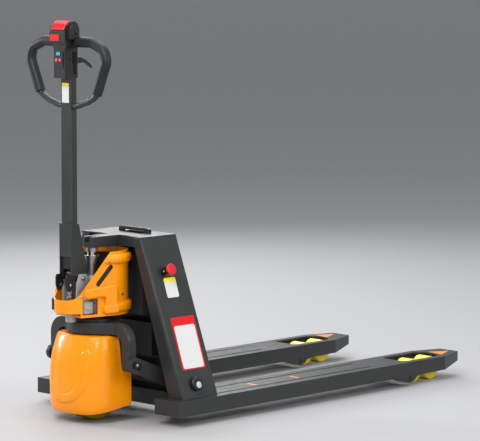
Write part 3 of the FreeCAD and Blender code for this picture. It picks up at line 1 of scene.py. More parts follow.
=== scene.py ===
"""Studio scene of the pallet jack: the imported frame, its finishes and the small pieces on it."""

import math

import bmesh
import bpy
from mathutils import Matrix, Vector
from mathutils.bvhtree import BVHTree


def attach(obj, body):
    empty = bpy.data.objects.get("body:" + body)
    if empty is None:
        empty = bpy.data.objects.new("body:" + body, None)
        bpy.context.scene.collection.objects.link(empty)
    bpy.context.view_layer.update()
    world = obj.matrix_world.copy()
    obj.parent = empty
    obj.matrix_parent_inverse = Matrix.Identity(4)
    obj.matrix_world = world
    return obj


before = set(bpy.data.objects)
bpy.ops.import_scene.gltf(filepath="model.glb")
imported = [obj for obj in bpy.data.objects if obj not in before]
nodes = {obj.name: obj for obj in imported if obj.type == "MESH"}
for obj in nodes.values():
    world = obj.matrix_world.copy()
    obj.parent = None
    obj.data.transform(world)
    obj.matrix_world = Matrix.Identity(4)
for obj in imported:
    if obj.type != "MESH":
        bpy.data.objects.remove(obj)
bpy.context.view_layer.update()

# Lengths are in metres. The x of a place is counted from the steering axis.
AXIS = -0.665
FORWARD = Vector((1, 0, 0))
TO_FAR_SIDE = Vector((0, 1, 0))
UP = Vector((0, 0, 1))
DOWN = Vector((0, 0, -1))
SIDES = ((-1, "near"), (1, "far"))
# Where the lines start that look for a surface: behind the tiller, at the near side, over the forks.
BEHIND, BESIDE, ABOVE = -2.0, -1.0, 1.0

# ---------------------------------------------------------------- materials

# Each cloud is a scale, a detail and a roughness of noise.
COLOUR_CLOUD = (9, 4, 0.6)
RUB_SHEEN_CLOUD = (60, 5, 0.7)
GLOSS_CLOUD = (22, 5, 0.65)
GRAIN_DETAIL, GRAIN_ROUGHNESS = 3, 0.55
CLOUD_LOW, CLOUD_HIGH = 0.3, 0.7
# These numbers shape lighter edges: partly rubbed wear, partly a painted edge highlight.
RUB_SHEEN_RADIUS, RUB_SHEEN_SAMPLES = 0.0016, 4
RUB_SHEEN_FULL, RUB_SHEEN_NONE = 0.82, 0.99
RUB_SHEEN_GAIN, RUB_SHEEN_LIFT, RUB_SHEEN_LEAST = 2.2, 0.06, 0.1
LEAST_ROUGHNESS = 0.02


def linear(channel):
    """A colour channel from 0 to 255 as the linear value that Blender takes."""
    channel /= 255
    return channel / 12.92 if channel <= 0.04045 else ((channel + 0.055) / 1.055) ** 2.4


def finish(name, rgb, roughness, metallic=0.0, coat=0.0, coat_roughness=0.1, specular=0.5,
           grain=900, bump=0.1, depth=0.0002, mottle=0.08, smudge=0.08, wear_and_sheen=0.0):
    """A surface with fine grain in its height, cloudy colour, uneven gloss and lighter edges, which are
    partly rubbed wear and partly a painted edge highlight.
    """
    mat = bpy.data.materials.new(name)
    mat.use_nodes = True
    tree = mat.node_tree
    link = tree.links.new
    shader = tree.nodes["Principled BSDF"]
    shader.inputs["Metallic"].default_value = metallic
    shader.inputs["Coat Weight"].default_value = coat
    shader.inputs["Coat Roughness"].default_value = coat_roughness
    shader.inputs["Specular IOR Level"].default_value = specular
    place = tree.nodes.new("ShaderNodeTexCoord")

    def noise(scale, detail, rough):
        cloud = tree.nodes.new("ShaderNodeTexNoise")
        cloud.inputs["Scale"].default_value = scale
        cloud.inputs["Detail"].default_value = detail
        cloud.inputs["Roughness"].default_value = rough
        link(place.outputs["Object"], cloud.inputs["Vector"])
        return cloud.outputs["Fac"]

    def spread(source, low, high, start=CLOUD_LOW, end=CLOUD_HIGH):
        ramp = tree.nodes.new("ShaderNodeMapRange")
        for index, number in enumerate((start, end, low, high), 1):
            ramp.inputs[index].default_value = number
        link(source, ramp.inputs[0])
        return ramp.outputs[0]

    def blend(share, second):
        mix = tree.nodes.new("ShaderNodeMix")
        mix.data_type = "RGBA"
        mix.inputs["B"].default_value = [min(1, channel) for channel in second] + [1]
        link(share, mix.inputs["Factor"])
        return mix

    def rubbed_and_highlit(colour):
        """The colour with lighter edges, partly rubbed wear and partly a painted edge highlight: where the
        rounded normal leaves the plain one, in patches.
        """
        rounded_normal = tree.nodes.new("ShaderNodeBevel")
        rounded_normal.samples = RUB_SHEEN_SAMPLES
        rounded_normal.inputs["Radius"].default_value = RUB_SHEEN_RADIUS
        plain_normal = tree.nodes.new("ShaderNodeNewGeometry")
        likeness = tree.nodes.new("ShaderNodeVectorMath")
        likeness.operation = "DOT_PRODUCT"
        link(rounded_normal.outputs["Normal"], likeness.inputs[0])
        link(plain_normal.outputs["Normal"], likeness.inputs[1])
        patchy = tree.nodes.new("ShaderNodeMath")
        patchy.operation = "MULTIPLY"
        link(spread(likeness.outputs["Value"], wear_and_sheen, 0, RUB_SHEEN_FULL, RUB_SHEEN_NONE), patchy.inputs[0])
        link(spread(noise(*RUB_SHEEN_CLOUD), RUB_SHEEN_LEAST, 1), patchy.inputs[1])
        worn_and_highlit = blend(patchy.outputs[0], [channel * RUB_SHEEN_GAIN + RUB_SHEEN_LIFT for channel in base])
        link(colour, worn_and_highlit.inputs["A"])
        return worn_and_highlit.outputs["Result"]

    base = [linear(channel) for channel in rgb]
    mottled = blend(spread(noise(*COLOUR_CLOUD), 0, 1), [channel * (1 + mottle) for channel in base])
    mottled.inputs["A"].default_value = [channel * (1 - mottle) for channel in base] + [1]
    colour = mottled.outputs["Result"]
    # Lighter edges: partly rubbed wear, partly a painted edge highlight.
    if wear_and_sheen:
        colour = rubbed_and_highlit(colour)
    link(colour, shader.inputs["Base Color"])
    glossiest = max(LEAST_ROUGHNESS, roughness - smudge)
    link(spread(noise(*GLOSS_CLOUD), glossiest, roughness + smudge), shader.inputs["Roughness"])
    relief = tree.nodes.new("ShaderNodeBump")
    relief.inputs["Strength"].default_value = bump
    relief.inputs["Distance"].default_value = depth
    link(noise(grain, GRAIN_DETAIL, GRAIN_ROUGHNESS), relief.inputs["Height"])
    link(relief.outputs["Normal"], shader.inputs["Normal"])
    return mat


LOOKS = {
    # The last number of some looks lightens their edges: partly rubbed wear, partly a painted edge
    # highlight.
    "frame_paint": dict(rgb=(47, 49, 49), roughness=0.42, coat=0.12, coat_roughness=0.14, specular=0.3,
                        grain=700, bump=0.22, wear_and_sheen=0.4),
    "orange_cover": dict(rgb=(251, 150, 4), roughness=0.28, coat=0.25, coat_roughness=0.06, specular=0.3,
                         grain=320, bump=0.05, mottle=0.03, smudge=0.05),
    "black_plastic": dict(rgb=(27, 28, 29), roughness=0.42, specular=0.4, grain=1500, bump=0.3, wear_and_sheen=0.15),
    "grip_rubber": dict(rgb=(27, 28, 30), roughness=0.5, specular=0.4, grain=1900, bump=0.4, mottle=0.12),
    "cast_iron": dict(rgb=(48, 50, 51), roughness=0.5, metallic=0.2, specular=0.4,
                      grain=420, bump=0.5, depth=0.0005, wear_and_sheen=0.3),
    "black_iron": dict(rgb=(24, 25, 26), roughness=0.48, metallic=0.1, specular=0.4,
                       grain=460, bump=0.4, depth=0.0004, wear_and_sheen=0.2),
    "zinc": dict(rgb=(172, 172, 168), roughness=0.4, metallic=0.25,
                 grain=520, bump=0.25, depth=0.0003, mottle=0.12, smudge=0.12),
    "steel": dict(rgb=(176, 178, 180), roughness=0.3, metallic=1.0, grain=800, bump=0.12, smudge=0.12),
    "chrome": dict(rgb=(225, 227, 230), roughness=0.1, metallic=1.0,
                   grain=500, bump=0.02, mottle=0.02, smudge=0.04),
    "polyurethane": dict(rgb=(252, 226, 24), roughness=0.38, coat=0.2, grain=260, bump=0.15, mottle=0.06),
    # A darker copy of the polyurethane for the drive tyre: painted shade of the tyre's shadowed underside.
    "shaded_polyurethane": dict(rgb=(168, 146, 24), roughness=0.5, specular=0.3,
                             grain=240, bump=0.25, mottle=0.16),
    "red_plastic": dict(rgb=(206, 22, 30), roughness=0.3, coat=0.2, grain=1300, bump=0.1, mottle=0.04),
    "key_plastic": dict(rgb=(232, 92, 112), roughness=0.35, grain=1500, bump=0.15),
    "display_glass": dict(rgb=(52, 190, 214), roughness=0.12, coat=1.0, grain=400, bump=0.02),
    "white_plate": dict(rgb=(216, 216, 214), roughness=0.38, coat=0.1, grain=600, bump=0.06, mottle=0.02),
    "red_plate": dict(rgb=(212, 18, 24), roughness=0.5, specular=0.3, grain=600, bump=0.06, mottle=0.03),
    "yellow_plate": dict(rgb=(246, 226, 30), roughness=0.38, grain=600, bump=0.06, mottle=0.03),
    "orange_plate": dict(rgb=(232, 140, 38), roughness=0.4, coat=0.2, grain=600, bump=0.08, mottle=0.06),
    "light_grey": dict(rgb=(188, 190, 192), roughness=0.4, grain=900, bump=0.1),
    "deep_black": dict(rgb=(9, 9, 10), roughness=0.6, specular=0.2, grain=900, bump=0.1),
}
FINISHES = {name: finish(name, **look) for name, look in LOOKS.items()}

# Nodes that look other than their CAD material says.
REDRESSED = {"tiller_base": "black_iron", "yoke_pins": "black_iron", "load_pivots": "black_iron",
             # The drive tyre takes the darker copy of the polyurethane: painted shade.
             "release_valve": "zinc", "pump_body": "zinc", "drive_tyre": "shaded_polyurethane"}
for name, obj in nodes.items():
    for slot in obj.material_slots:
        cad_look = slot.material.name.split(".")[0] if slot.material else "frame_paint"
        look = REDRESSED.get(name, cad_look)
        if look in FINISHES:
            slot.material = FINISHES[look]

# ---------------------------------------------------------------- softened edges of the CAD nodes

EDGE_RADII_MM = {
    "fork_left": 2.5, "fork_right": 2.5, "tower_side_left": 3, "tower_side_right": 3, "tower_top": 1.5,
    "base_crossbeam": 1.5, "tower_back": 1.2, "yoke_frame": 1.5, "rocker": 1.2, "head_front_shell": 5,
    "head_rear_shell": 3, "belly_button": 8, "throttle": 3, "battery_pack": 2, "tiller_tube": 1.2,
    "tiller_base": 1.5, "pump_body": 1.2, "release_valve": 2, "keypad_panel": 0.6, "release_lever": 1.5}
WELD_REACH = 2e-5
SOFTENED_TURN, EDGE_STEPS = 32, 3
for name, radius_mm in EDGE_RADII_MM.items():
    weld = nodes[name].modifiers.new("weld", "WELD")
    weld.merge_threshold = WELD_REACH
    bevel = nodes[name].modifiers.new("bevel", "BEVEL")
    bevel.width = radius_mm / 1000
    bevel.segments = EDGE_STEPS
    bevel.limit_method = "ANGLE"
    bevel.angle_limit = math.radians(SOFTENED_TURN)
    bevel.harden_normals = True

# ---------------------------------------------------------------- tools for the small pieces

RIM_RADIUS = 0.0003
RIM_LIMIT = 0.6
PLATE_TURN, TURNED_TURN, SKIN_TURN = 35, 40, 50
skins = {}


def touch(node, start, way):
    """The point and the outward normal where a line from start meets a CAD node's surface."""
    if node not in skins:
        mesh = nodes[node].data
        corners = [vertex.co for vertex in mesh.vertices]
        skins[node] = BVHTree.FromPolygons(corners, [face.vertices for face in mesh.polygons])
    point, normal, _, _ = skins[node].ray_cast(Vector(start), Vector(way).normalized())
    if point is None:
        raise RuntimeError("nothing of %s lies at %s" % (node, tuple(start)))
    if normal.dot(Vector(way)) > 0:
        normal = -normal
    return point, normal


def from_side(x, side, z):
    """The start and the way of a line that looks straight at the jack from one side."""
    return (AXIS + x, side, z), (0, -side, 0)


def frame_at(point, normal, up):
    """A matrix whose X is to the right, Y up and Z out of the surface."""
    out = Vector(normal).normalized()
    right = Vector(up).cross(out).normalized()
    top = out.cross(right)
    return Matrix.Translation(point) @ Matrix((right, top, out)).transposed().to_4x4()


def piece(name, bm, sharp_turn, look, body):
    """Adds a built mesh as a smooth piece that rides on a body; it stays sharp past a turn in degrees."""
    mesh = bpy.data.meshes.new(name)
    bm.to_mesh(mesh)
    bm.free()
    mesh.shade_smooth()
    mesh.set_sharp_from_angle(angle=math.radians(sharp_turn))
    obj = bpy.data.objects.new(name, mesh)
    bpy.context.scene.collection.objects.link(obj)
    mesh.materials.append(FINISHES[look])
    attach(obj, body)


def rounded(width, height, radius, steps=6):
    """The outline of a rectangle with round corners."""
    points = []
    for sx, sy, start in ((1, 1, 0), (-1, 1, 90), (-1, -1, 180), (1, -1, 270)):
        for i in range(steps + 1):
            angle = math.radians(start + 90 * i / steps)
            points.append((sx * (width / 2 - radius) + radius * math.cos(angle),
                           sy * (height / 2 - radius) + radius * math.sin(angle)))
    return points


def plate(name, outline, thick, place, look, body, lift=0.0, rim_radius=RIM_RADIUS):
    """A thin plate with a softened rim; lift is how far it stands off its place."""
    bm = bmesh.new()
    face = bm.faces.new([bm.verts.new((u, v, lift)) for u, v in outline])
    grown = bmesh.ops.extrude_face_region(bm, geom=[face])
    lifted = [item for item in grown["geom"] if isinstance(item, bmesh.types.BMVert)]
    bmesh.ops.translate(bm, verts=lifted, vec=(0, 0, thick))
    bmesh.ops.recalc_face_normals(bm, faces=bm.faces)
    if rim_radius:
        middle = lift + thick / 2
        rim = [edge for edge in bm.edges if all(vertex.co.z > middle for vertex in edge.verts)]
        bmesh.ops.bevel(bm, geom=rim, offset=min(rim_radius, thick * RIM_LIMIT), segments=2, affect="EDGES")
    bmesh.ops.transform(bm, matrix=place, verts=bm.verts)
    piece(name, bm, PLATE_TURN, look, body)


def turned(name, profile, place, look, body, steps):
    """A turned piece; a profile row is (radius, height), or (radius, height, sides) for a socket."""
    bm = bmesh.new()
    rings = []
    for radius, height, *sides in profile:
        ring = []
        for i in range(steps):
            angle = 2 * math.pi * i / steps
            reach = radius
            if sides:
                sector = 2 * math.pi / sides[0]
                reach = radius * math.cos(sector / 2) / math.cos(angle % sector - sector / 2)
            ring.append(bm.verts.new((reach * math.cos(angle), reach * math.sin(angle), height)))
        rings.append(ring)
    for low, high in zip(rings, rings[1:]):
        for i in range(steps):
            bm.faces.new((low[i], low[(i + 1) % steps], high[(i + 1) % steps], high[i]))
    bm.faces.new(rings[0])
    bm.faces.new(rings[-1])
    bmesh.ops.recalc_face_normals(bm, faces=bm.faces)
    bmesh.ops.transform(bm, matrix=place, verts=bm.verts)
    piece(name, bm, TURNED_TURN, look, body)


def spot(name, outline, node, start, way, up, thick, look, body, lift=0.0, rim_radius=RIM_RADIUS):
    """A plate that lies where a line from start meets a CAD node."""
    place = frame_at(*touch(node, start, way), up)
    plate(name, outline, thick, place, look, body, lift, rim_radius)


def skin(name, rows, look, body):
    """A thin closed sheet; every row holds (lower point, upper point) pairs."""
    bm = bmesh.new()
    lower = [[bm.verts.new(pair[0]) for pair in row] for row in rows]
    upper = [[bm.verts.new(pair[1]) for pair in row] for row in rows]
    last_row, last_column = len(rows) - 1, len(rows[0]) - 1
    for i in range(last_row):
        for j in range(last_column):
            bm.faces.new((upper[i][j], upper[i][j + 1], upper[i + 1][j + 1], upper[i + 1][j]))
            bm.faces.new((lower[i][j], lower[i + 1][j], lower[i + 1][j + 1], lower[i][j + 1]))
    border = [(0, j) for j in range(last_column)]
    border += [(i, last_column) for i in range(last_row)]
    border += [(last_row, j) for j in range(last_column, 0, -1)]
    border += [(i, 0) for i in range(last_row, 0, -1)]
    for (i, j), (k, m) in zip(border, border[1:] + border[:1]):
        bm.faces.new((upper[i][j], lower[i][j], lower[k][m], upper[k][m]))
    bmesh.ops.recalc_face_normals(bm, faces=bm.faces)
    piece(name, bm, SKIN_TURN, look, body)


# ---------------------------------------------------------------- bare plates on the tower, tiller and head

PLATE_THICK, FIELD_THICK = 0.0004, 0.0002
TOWER = "tower_side_right"


def tower_card(name, outline, field_name, field, at, looks):
    """A bare plate on the tower's near side, with a field of another colour that lies on it."""
    spot(name, outline, TOWER, at, TO_FAR_SIDE, UP, PLATE_THICK, looks[0], "frame")
    spot(field_name, field, TOWER, at, TO_FAR_SIDE, UP, FIELD_THICK, looks[1], "frame", PLATE_THICK, 0)


SMALL_AT = (AXIS + 0.165, BESIDE, 0.431)
SMALL_WIDTH, SMALL_HEIGHT, SMALL_CORNER, SMALL_BAND = 0.052, 0.066, 0.006, 0.014
small_card = rounded(SMALL_WIDTH, SMALL_HEIGHT, SMALL_CORNER)
band_foot = SMALL_HEIGHT / 2 - SMALL_BAND
small_band = [(u, v) for u, v in small_card if v > 0]
small_band += [(-SMALL_WIDTH / 2, band_foot), (SMALL_WIDTH / 2, band_foot)]
tower_card("plate_small", small_card, "plate_small_band", small_band, SMALL_AT,
           ("white_plate", "yellow_plate"))

LARGE_AT = (AXIS + 0.18, BESIDE, 0.256)
LARGE_WIDTH, LARGE_HEIGHT, LARGE_CORNER = 0.103, 0.174, 0.001
BORDER_SIDE, BORDER_TOP, BORDER_FOOT, FIELD_CORNER = 0.006, 0.0285, 0.0035, 0.007
large_card = rounded(LARGE_WIDTH, LARGE_HEIGHT, LARGE_CORNER, 2)
field_rise = (BORDER_FOOT - BORDER_TOP) / 2
large_field = rounded(LARGE_WIDTH - 2 * BORDER_SIDE, LARGE_HEIGHT - BORDER_TOP - BORDER_FOOT, FIELD_CORNER)
large_field = [(u, v + field_rise) for u, v in large_field]
tower_card("plate_large", large_card, "plate_large_field", large_field, LARGE_AT,
           ("red_plate", "white_plate"))

# Height of the middle, height of the plate, look.
TILLER_PLATES = ((1.0905, 0.009, "yellow_plate"), (1.0585, 0.053, "white_plate"))
TILLER_PLATE_WIDTH, TILLER_PLATE_CORNER = 0.033, 0.0015
for index, (z, height, look) in enumerate(TILLER_PLATES):
    card = rounded(TILLER_PLATE_WIDTH, height, TILLER_PLATE_CORNER, 3)
    spot("tiller_plate_%d" % index, card, "tiller_tube", (BEHIND, 0.0, z), FORWARD, UP, PLATE_THICK, look,
         "tiller")

HEAD_PLATE_AT = (BEHIND, 0.0135, 1.2400)
HEAD_PLATE_WIDTH, HEAD_PLATE_HEIGHT, HEAD_PLATE_CORNER, HEAD_PLATE_THICK = 0.043, 0.021, 0.0025, 0.0007
spot("head_plate", rounded(HEAD_PLATE_WIDTH, HEAD_PLATE_HEIGHT, HEAD_PLATE_CORNER), "head_front_shell",
     HEAD_PLATE_AT, FORWARD, UP, HEAD_PLATE_THICK, "red_plate", "tiller")

# ---------------------------------------------------------------- orange marks on the forks

MARK_THICK = 0.0003
ARROW = [(-0.037, -0.034), (0.035, -0.002), (0.037, 0.002), (-0.028, 0.039)]
ARROW_X, ARROW_Y = 1.414, 0.277
DASH_XS, DASH_Y, DASH_WIDTH, DASH_LENGTH, DASH_CORNER = (0.468, 0.669), 0.2665, 0.012, 0.041, 0.002


def fork_mark(name, outline, word, x, y):
    """A thin mark on the deck of a fork."""
    spot(name, outline, "fork_" + word, (AXIS + x, y, ABOVE), DOWN, TO_FAR_SIDE, MARK_THICK, "orange_plate",
         "frame", 0.0, 0)


for side, word in ((-1, "right"), (1, "left")):
    fork_mark("fork_arrow_" + word, ARROW, word, ARROW_X, side * ARROW_Y)
    for index, x in enumerate(DASH_XS):
        dash = rounded(DASH_WIDTH, DASH_LENGTH, DASH_CORNER, 2)
        fork_mark("fork_dash_%s_%d" % (word, index), dash, word, x, side * DASH_Y)

# ---------------------------------------------------------------- screws and plugs of both sides

SCREW_FOOT = -0.001
SOCKET_SIDES, SCREW_STEPS = 6, 24
# Shares of the head's radius: a domed head, then the hexagon socket.
HEAD_SHAPE = [(1, 0.18), (0.93, 0.4), (0.74, 0.56), (0.52, 0.62), (0.46, 0.6, SOCKET_SIDES),
              (0.46, 0.12, SOCKET_SIDES), (0.1, 0.06, SOCKET_SIDES)]
# Name, node, x, z, radius of the head, look, body.
SCREWS = (
    ("pump_screw_%s_0", "pump_cover", -0.0074, 0.520, 0.0045, "steel", "drive_unit"),
    ("pump_screw_%s_1", "pump_cover", -0.1000, 0.4105, 0.0045, "steel", "drive_unit"),
    # A black screw head at a dark hole in the pump cover: painted shade of the recess.
    ("pump_plug_%s", "pump_cover", 0.05, 0.4104, 0.004, "black_plastic", "drive_unit"),
    ("rocker_screw_%s", "yoke_pins", 0.002, 0.196, 0.0055, "steel", "yoke"),
    ("pivot_screw_%s", "tiller_pivot", -0.072, 0.468, 0.0045, "steel", "drive_unit"),
    ("shell_screw_%s", "head_front_shell", -0.114, 1.1725, 0.0024, "deep_black", "tiller"),
    ("throttle_plug_%s", "throttle", -0.1057, 1.2535, 0.0042, "deep_black", "throttle"),
)
for side, word in SIDES:
    for name, node, x, z, radius, look, body in SCREWS:
        profile = [(radius, SCREW_FOOT)]
        profile += [(radius * share, radius * rise, *sides) for share, rise, *sides in HEAD_SHAPE]
        place = frame_at(*touch(node, *from_side(x, side, z)), UP)
        turned(name % word, profile, place, look, body, SCREW_STEPS)

# ---------------------------------------------------------------- drive cover's embossed band

# A U on the cover's handle side: two legs with round ends and the bend that joins them below.
BAND_HALF, BAND_BEND, BAND_FOOT, BAND_HEAD = 0.0155, 0.0775, 0.157, 0.2275
BAND_ROOT, BAND_LEAST_SHARE = 0.0012, 0.02
LEG_STEPS, BEND_STEP = 8, 8
END_ANGLES = (90, 78, 64, 48, 30, 14)
# Share of the half width, height over the cover.
BAND_SECTION = ((-1, -0.0006), (-0.88, 0.0018), (-0.5, 0.0023), (0, 0.0024), (0.5, 0.0023), (0.88, 0.0018),
                (1, -0.0006))


def band_stations():
    """Along the band: the middle's y and z, the way across in y and z, the share of the full width."""
    leg = []
    for angle in map(math.radians, END_ANGLES):
        leg.append((BAND_HEAD + BAND_HALF * math.sin(angle), math.cos(angle)))
    leg += [(BAND_HEAD + (BAND_FOOT - BAND_HEAD) * i / LEG_STEPS, 1) for i in range(LEG_STEPS + 1)]
    bend = []
    for angle in map(math.radians, range(-BEND_STEP, BEND_STEP - 180, -BEND_STEP)):
        across = math.cos(angle), math.sin(angle)
        bend.append((BAND_BEND * across[0], BAND_FOOT + BAND_BEND * across[1], *across, 1))
    far_leg = [(BAND_BEND, z, 1, 0, share) for z, share in leg]
    near_leg = [(-BAND_BEND, z, -1, 0, share) for z, share in reversed(leg)]
    return far_leg + bend + near_leg


rows = []
for y, z, across_y, across_z, share in band_stations():
    row = []
    for part, rise in BAND_SECTION:
        offset = part * BAND_HALF * max(share, BAND_LEAST_SHARE)
        start = (BEHIND, y + offset * across_y, z + offset * across_z)
        point, normal = touch("drive_cover", start, FORWARD)
        height = rise * share if rise > 0 else rise
        row.append((point - normal * BAND_ROOT, point + normal * height))
    rows.append(row)
skin("cover_band", rows, "orange_cover", "drive_unit")

# ---------------------------------------------------------------- pump cover: black lining as painted shade inside it, and bumper

LINING = 0.0015
DRUM_X, DRUM_RADIUS, DRUM_FOOT, DRUM_TOP = 0.037, 0.0852, 0.352, 0.532
DRUM_LEVELS, DRUM_TURN, DRUM_STEP = 14, 96, 8


def lined(points, out):
    """Point pairs of a black lining that lies inside the given points; it is painted shade of the cover's
    inside.
    """
    return [(point, point - out * LINING) for point in points]


# A black sheet inside the cover's drum: painted shade of the cover's inside.
drum = Vector((AXIS + DRUM_X, 0, 0))
rows = []
for level in range(DRUM_LEVELS + 1):
    z = DRUM_FOOT + (DRUM_TOP - DRUM_FOOT) * level / DRUM_LEVELS
    row = []
    for angle in map(math.radians, range(-DRUM_TURN, DRUM_TURN + 1, DRUM_STEP)):
        out = Vector((math.cos(angle), math.sin(angle), 0))
        row += lined([drum + out * DRUM_RADIUS + UP * z], out)
    rows.append(row)
skin("shade_lining_drum", rows, "black_plastic", "drive_unit")

RING_X, RING_INSIDE = -0.080, 0.064 - 0.0062
FLANK_LEAN = math.radians(13.342)
FLANK_START, FLANK_LENGTH, FLANK_FOOT, FLANK_TOP, FLANK_SLOPE = 0.030, 0.082, 0.40, 0.452, 0.080
FLANK_LEVELS = 4
# Black sheets inside the ring's flanks: painted shade of the cover's inside as well.
for side, word in SIDES:
    out = Vector((-math.sin(FLANK_LEAN), side * math.cos(FLANK_LEAN), 0))
    along = Vector((math.cos(FLANK_LEAN), side * math.sin(FLANK_LEAN), 0))
    origin = Vector((AXIS + RING_X, 0, 0)) + out * RING_INSIDE
    rows = []
    for part in (0, 0.5, 1):
        foot = origin + along * (FLANK_START + FLANK_LENGTH * part)
        wall = FLANK_TOP + FLANK_SLOPE * part - FLANK_FOOT
        heights = [FLANK_FOOT + wall * level / FLANK_LEVELS for level in range(FLANK_LEVELS + 1)]
        rows.append(lined([foot + UP * z for z in heights], out))
    skin("shade_lining_flank_" + word, rows, "black_plastic", "drive_unit")

BUMPER_ANGLE = math.radians(48)
BUMPER_WIDTH, BUMPER_HEIGHT, BUMPER_CORNER, BUMPER_THICK, BUMPER_RIM = 0.030, 0.040, 0.006, 0.005, 0.0015
BUMPER_Z = 0.384
out = Vector((-math.cos(BUMPER_ANGLE), math.sin(BUMPER_ANGLE), 0))
spot("ring_bumper", rounded(BUMPER_WIDTH, BUMPER_HEIGHT, BUMPER_CORNER), "pump_cover",
     Vector((AXIS + RING_X, 0, BUMPER_Z)) + out, -out, UP, BUMPER_THICK, "black_plastic", "drive_unit",
     0.0, BUMPER_RIM)

# ---------------------------------------------------------------- head and tower: slots darkened as painted shade, lenses, a painted glint

# Near-black thin plates where the lever slots open in the head's rear shell: painted shade of the openings.
SLOT_X, SLOT_Z, SLOT_THICK = -0.0925, 1.173, 0.0005
SLOT = [(-0.010, 0.022), (-0.010, -0.016), (-0.005, -0.019), (-0.005, -0.050), (0.006, -0.050),
        (0.006, -0.019), (0.009, -0.016), (0.009, 0.022)]
LENS = [(0.0108, -0.0005), (0.0108, 0.0008), (0.0095, 0.0016), (0.0002, 0.0018)]
LENS_X, LENS_Z, LENS_STEPS = 0.166, 0.128, 28
for side, word in SIDES:
    slot = [(u * -side, v) for u, v in SLOT]
    spot("shaded_lever_slot_" + word, slot, "head_rear_shell", *from_side(SLOT_X, side, SLOT_Z), UP, SLOT_THICK,
         "deep_black", "tiller", 0.0, 0)
    place = frame_at(*touch("shaft_caps", *from_side(LENS_X, side, LENS_Z)), UP)
    turned("cap_lens_" + word, LENS, place, "light_grey", "frame", LENS_STEPS)

# A small white dot on the E-stop's collar: a painted highlight.
ESTOP_GLINT = [(0.0024, -0.0004), (0.0024, 0.0005), (0.001, 0.0008)]
ESTOP_GLINT_AT, ESTOP_GLINT_STEPS = (AXIS, -0.195, 0.486), 16
place = frame_at(*touch("estop_housing", ESTOP_GLINT_AT, FORWARD), UP)
turned("estop_glint", ESTOP_GLINT, place, "white_plate", "frame", ESTOP_GLINT_STEPS)

# ---------------------------------------------------------------- cheeks and bolts of the tiller's foot

CHEEK = [(-0.130, 0.482), (-0.134, 0.474), (-0.134, 0.446), (-0.127, 0.429), (-0.117, 0.426),
         (-0.106, 0.440), (-0.102, 0.452), (-0.102, 0.482)]
CHEEK_THICK, CHEEK_INSIDE, CHEEK_RIM = 0.0055, 0.0213, 0.001
BOLT_X, BOLT_Z, BOLT_STEPS = -0.116, 0.448, 20
BOLT = [(0.005, -0.001), (0.005, 0.0014), (0.0035, 0.0022)]
upright = Matrix.Rotation(math.radians(90), 4, "X")
# y is that of the cheek's face to the near side, which also carries the bolt.
for y, word in ((-CHEEK_INSIDE - CHEEK_THICK, "near"), (CHEEK_INSIDE, "far")):
    place = Matrix.Translation((AXIS, y, 0)) @ upright @ Matrix.Translation((0, 0, -CHEEK_THICK))
    plate("foot_cheek_" + word, CHEEK, CHEEK_THICK, place, "black_iron", "tiller", 0.0, CHEEK_RIM)
    place = Matrix.Translation((AXIS + BOLT_X, y, BOLT_Z)) @ upright
    turned("foot_bolt_" + word, BOLT, place, "steel", "tiller", BOLT_STEPS)

# ---------------------------------------------------------------- stage

FLOOR_RADIUS, FLOOR_STEPS = 80, 64
FLOOR_ROUGHNESS, FLOOR_CLOUD = 0.85, 3
FLOOR_TONES = ((0.42, 0.42, 0.425, 1), (0.45, 0.45, 0.455, 1))


def pale():
    """Plain pale floor with faint clouds in its tone."""
    mat = bpy.data.materials.new("pale_floor")
    mat.use_nodes = True
    tree = mat.node_tree
    shader = tree.nodes["Principled BSDF"]
    shader.inputs["Roughness"].default_value = FLOOR_ROUGHNESS
    cloud = tree.nodes.new("ShaderNodeTexNoise")
    cloud.inputs["Scale"].default_value = FLOOR_CLOUD
    mix = tree.nodes.new("ShaderNodeMix")
    mix.data_type = "RGBA"
    mix.inputs["A"].default_value, mix.inputs["B"].default_value = FLOOR_TONES
    tree.links.new(cloud.outputs["Fac"], mix.inputs["Factor"])
    tree.links.new(mix.outputs["Result"], shader.inputs["Base Color"])
    return mat


def floor():
    """A wide round floor, so that every side of the jack has it behind."""
    angles = [2 * math.pi * i / FLOOR_STEPS for i in range(FLOOR_STEPS)]
    rim = [(FLOOR_RADIUS * math.cos(angle), FLOOR_RADIUS * math.sin(angle), 0) for angle in angles]
    mesh = bpy.data.meshes.new("floor")
    mesh.from_pydata(rim, [], [list(range(FLOOR_STEPS))])
    obj = bpy.data.objects.new("floor", mesh)
    bpy.context.scene.collection.objects.link(obj)
    mesh.materials.append(pale())


floor()

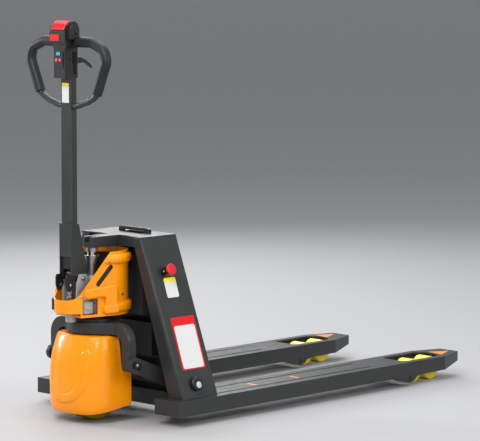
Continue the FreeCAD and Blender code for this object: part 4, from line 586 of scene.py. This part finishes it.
SKY, SKY_STRENGTH = (0.82, 0.84, 0.87, 1), 0.45
world = bpy.data.worlds.new("studio")
bpy.context.scene.world = world
world.use_nodes = True
world.node_tree.nodes["Background"].inputs["Color"].default_value = SKY
world.node_tree.nodes["Background"].inputs["Strength"].default_value = SKY_STRENGTH

# Name, place, aim, width, height, watts.
LAMPS = (
    ("key", (-3.4, -1.2, 3.6), (0, 0, 0.4), 2.4, 2.4, 130),
    ("fill", (0.4, -4.2, 1.9), (0, 0, 0.4), 3.0, 2.2, 75),
    ("edge", (-1.9, 3.6, 1.7), (-0.6, 0, 0.4), 0.5, 1.5, 70),
    ("window", (-4.3, -3.6, 2.6), (-0.5, 0, 0.3), 0.5, 0.7, 40),
    ("overhead", (0.6, 0.8, 4.2), (0, 0, 0), 4.5, 3.0, 110),
    ("rim", (2.2, 3.2, 2.4), (0, 0, 0.5), 2.0, 2.0, 60),
)
for name, at, aim, width, height, watts in LAMPS:
    light = bpy.data.lights.new(name, "AREA")
    light.shape = "RECTANGLE"
    light.size, light.size_y = width, height
    light.energy = watts
    lamp = bpy.data.objects.new(name, light)
    bpy.context.scene.collection.objects.link(lamp)
    lamp.location = at
    lamp.rotation_euler = (Vector(aim) - Vector(at)).to_track_quat("-Z", "Y").to_euler()

# ---------------------------------------------------------------- camera

CAMERA_AT = (-6.4842, -6.4547, 1.6228)
AZIMUTH, ELEVATION = math.radians(-45.1947), math.radians(6.4225)
LENS_MM, SENSOR_MM = 202.863, 36
CLIP_END = 60
back = Vector((math.sin(AZIMUTH) * math.cos(ELEVATION), -math.cos(AZIMUTH) * math.cos(ELEVATION),
               math.sin(ELEVATION)))
camera_data = bpy.data.cameras.new("camera")
camera_data.lens = LENS_MM
camera_data.sensor_width = SENSOR_MM
camera_data.sensor_fit = "HORIZONTAL"
camera_data.clip_end = CLIP_END
camera = bpy.data.objects.new("camera", camera_data)
bpy.context.scene.collection.objects.link(camera)
camera.location = CAMERA_AT
camera.rotation_euler = (-back).to_track_quat("-Z", "Y").to_euler()
bpy.context.scene.camera = camera
bpy.context.scene.view_settings.view_transform = "Standard"
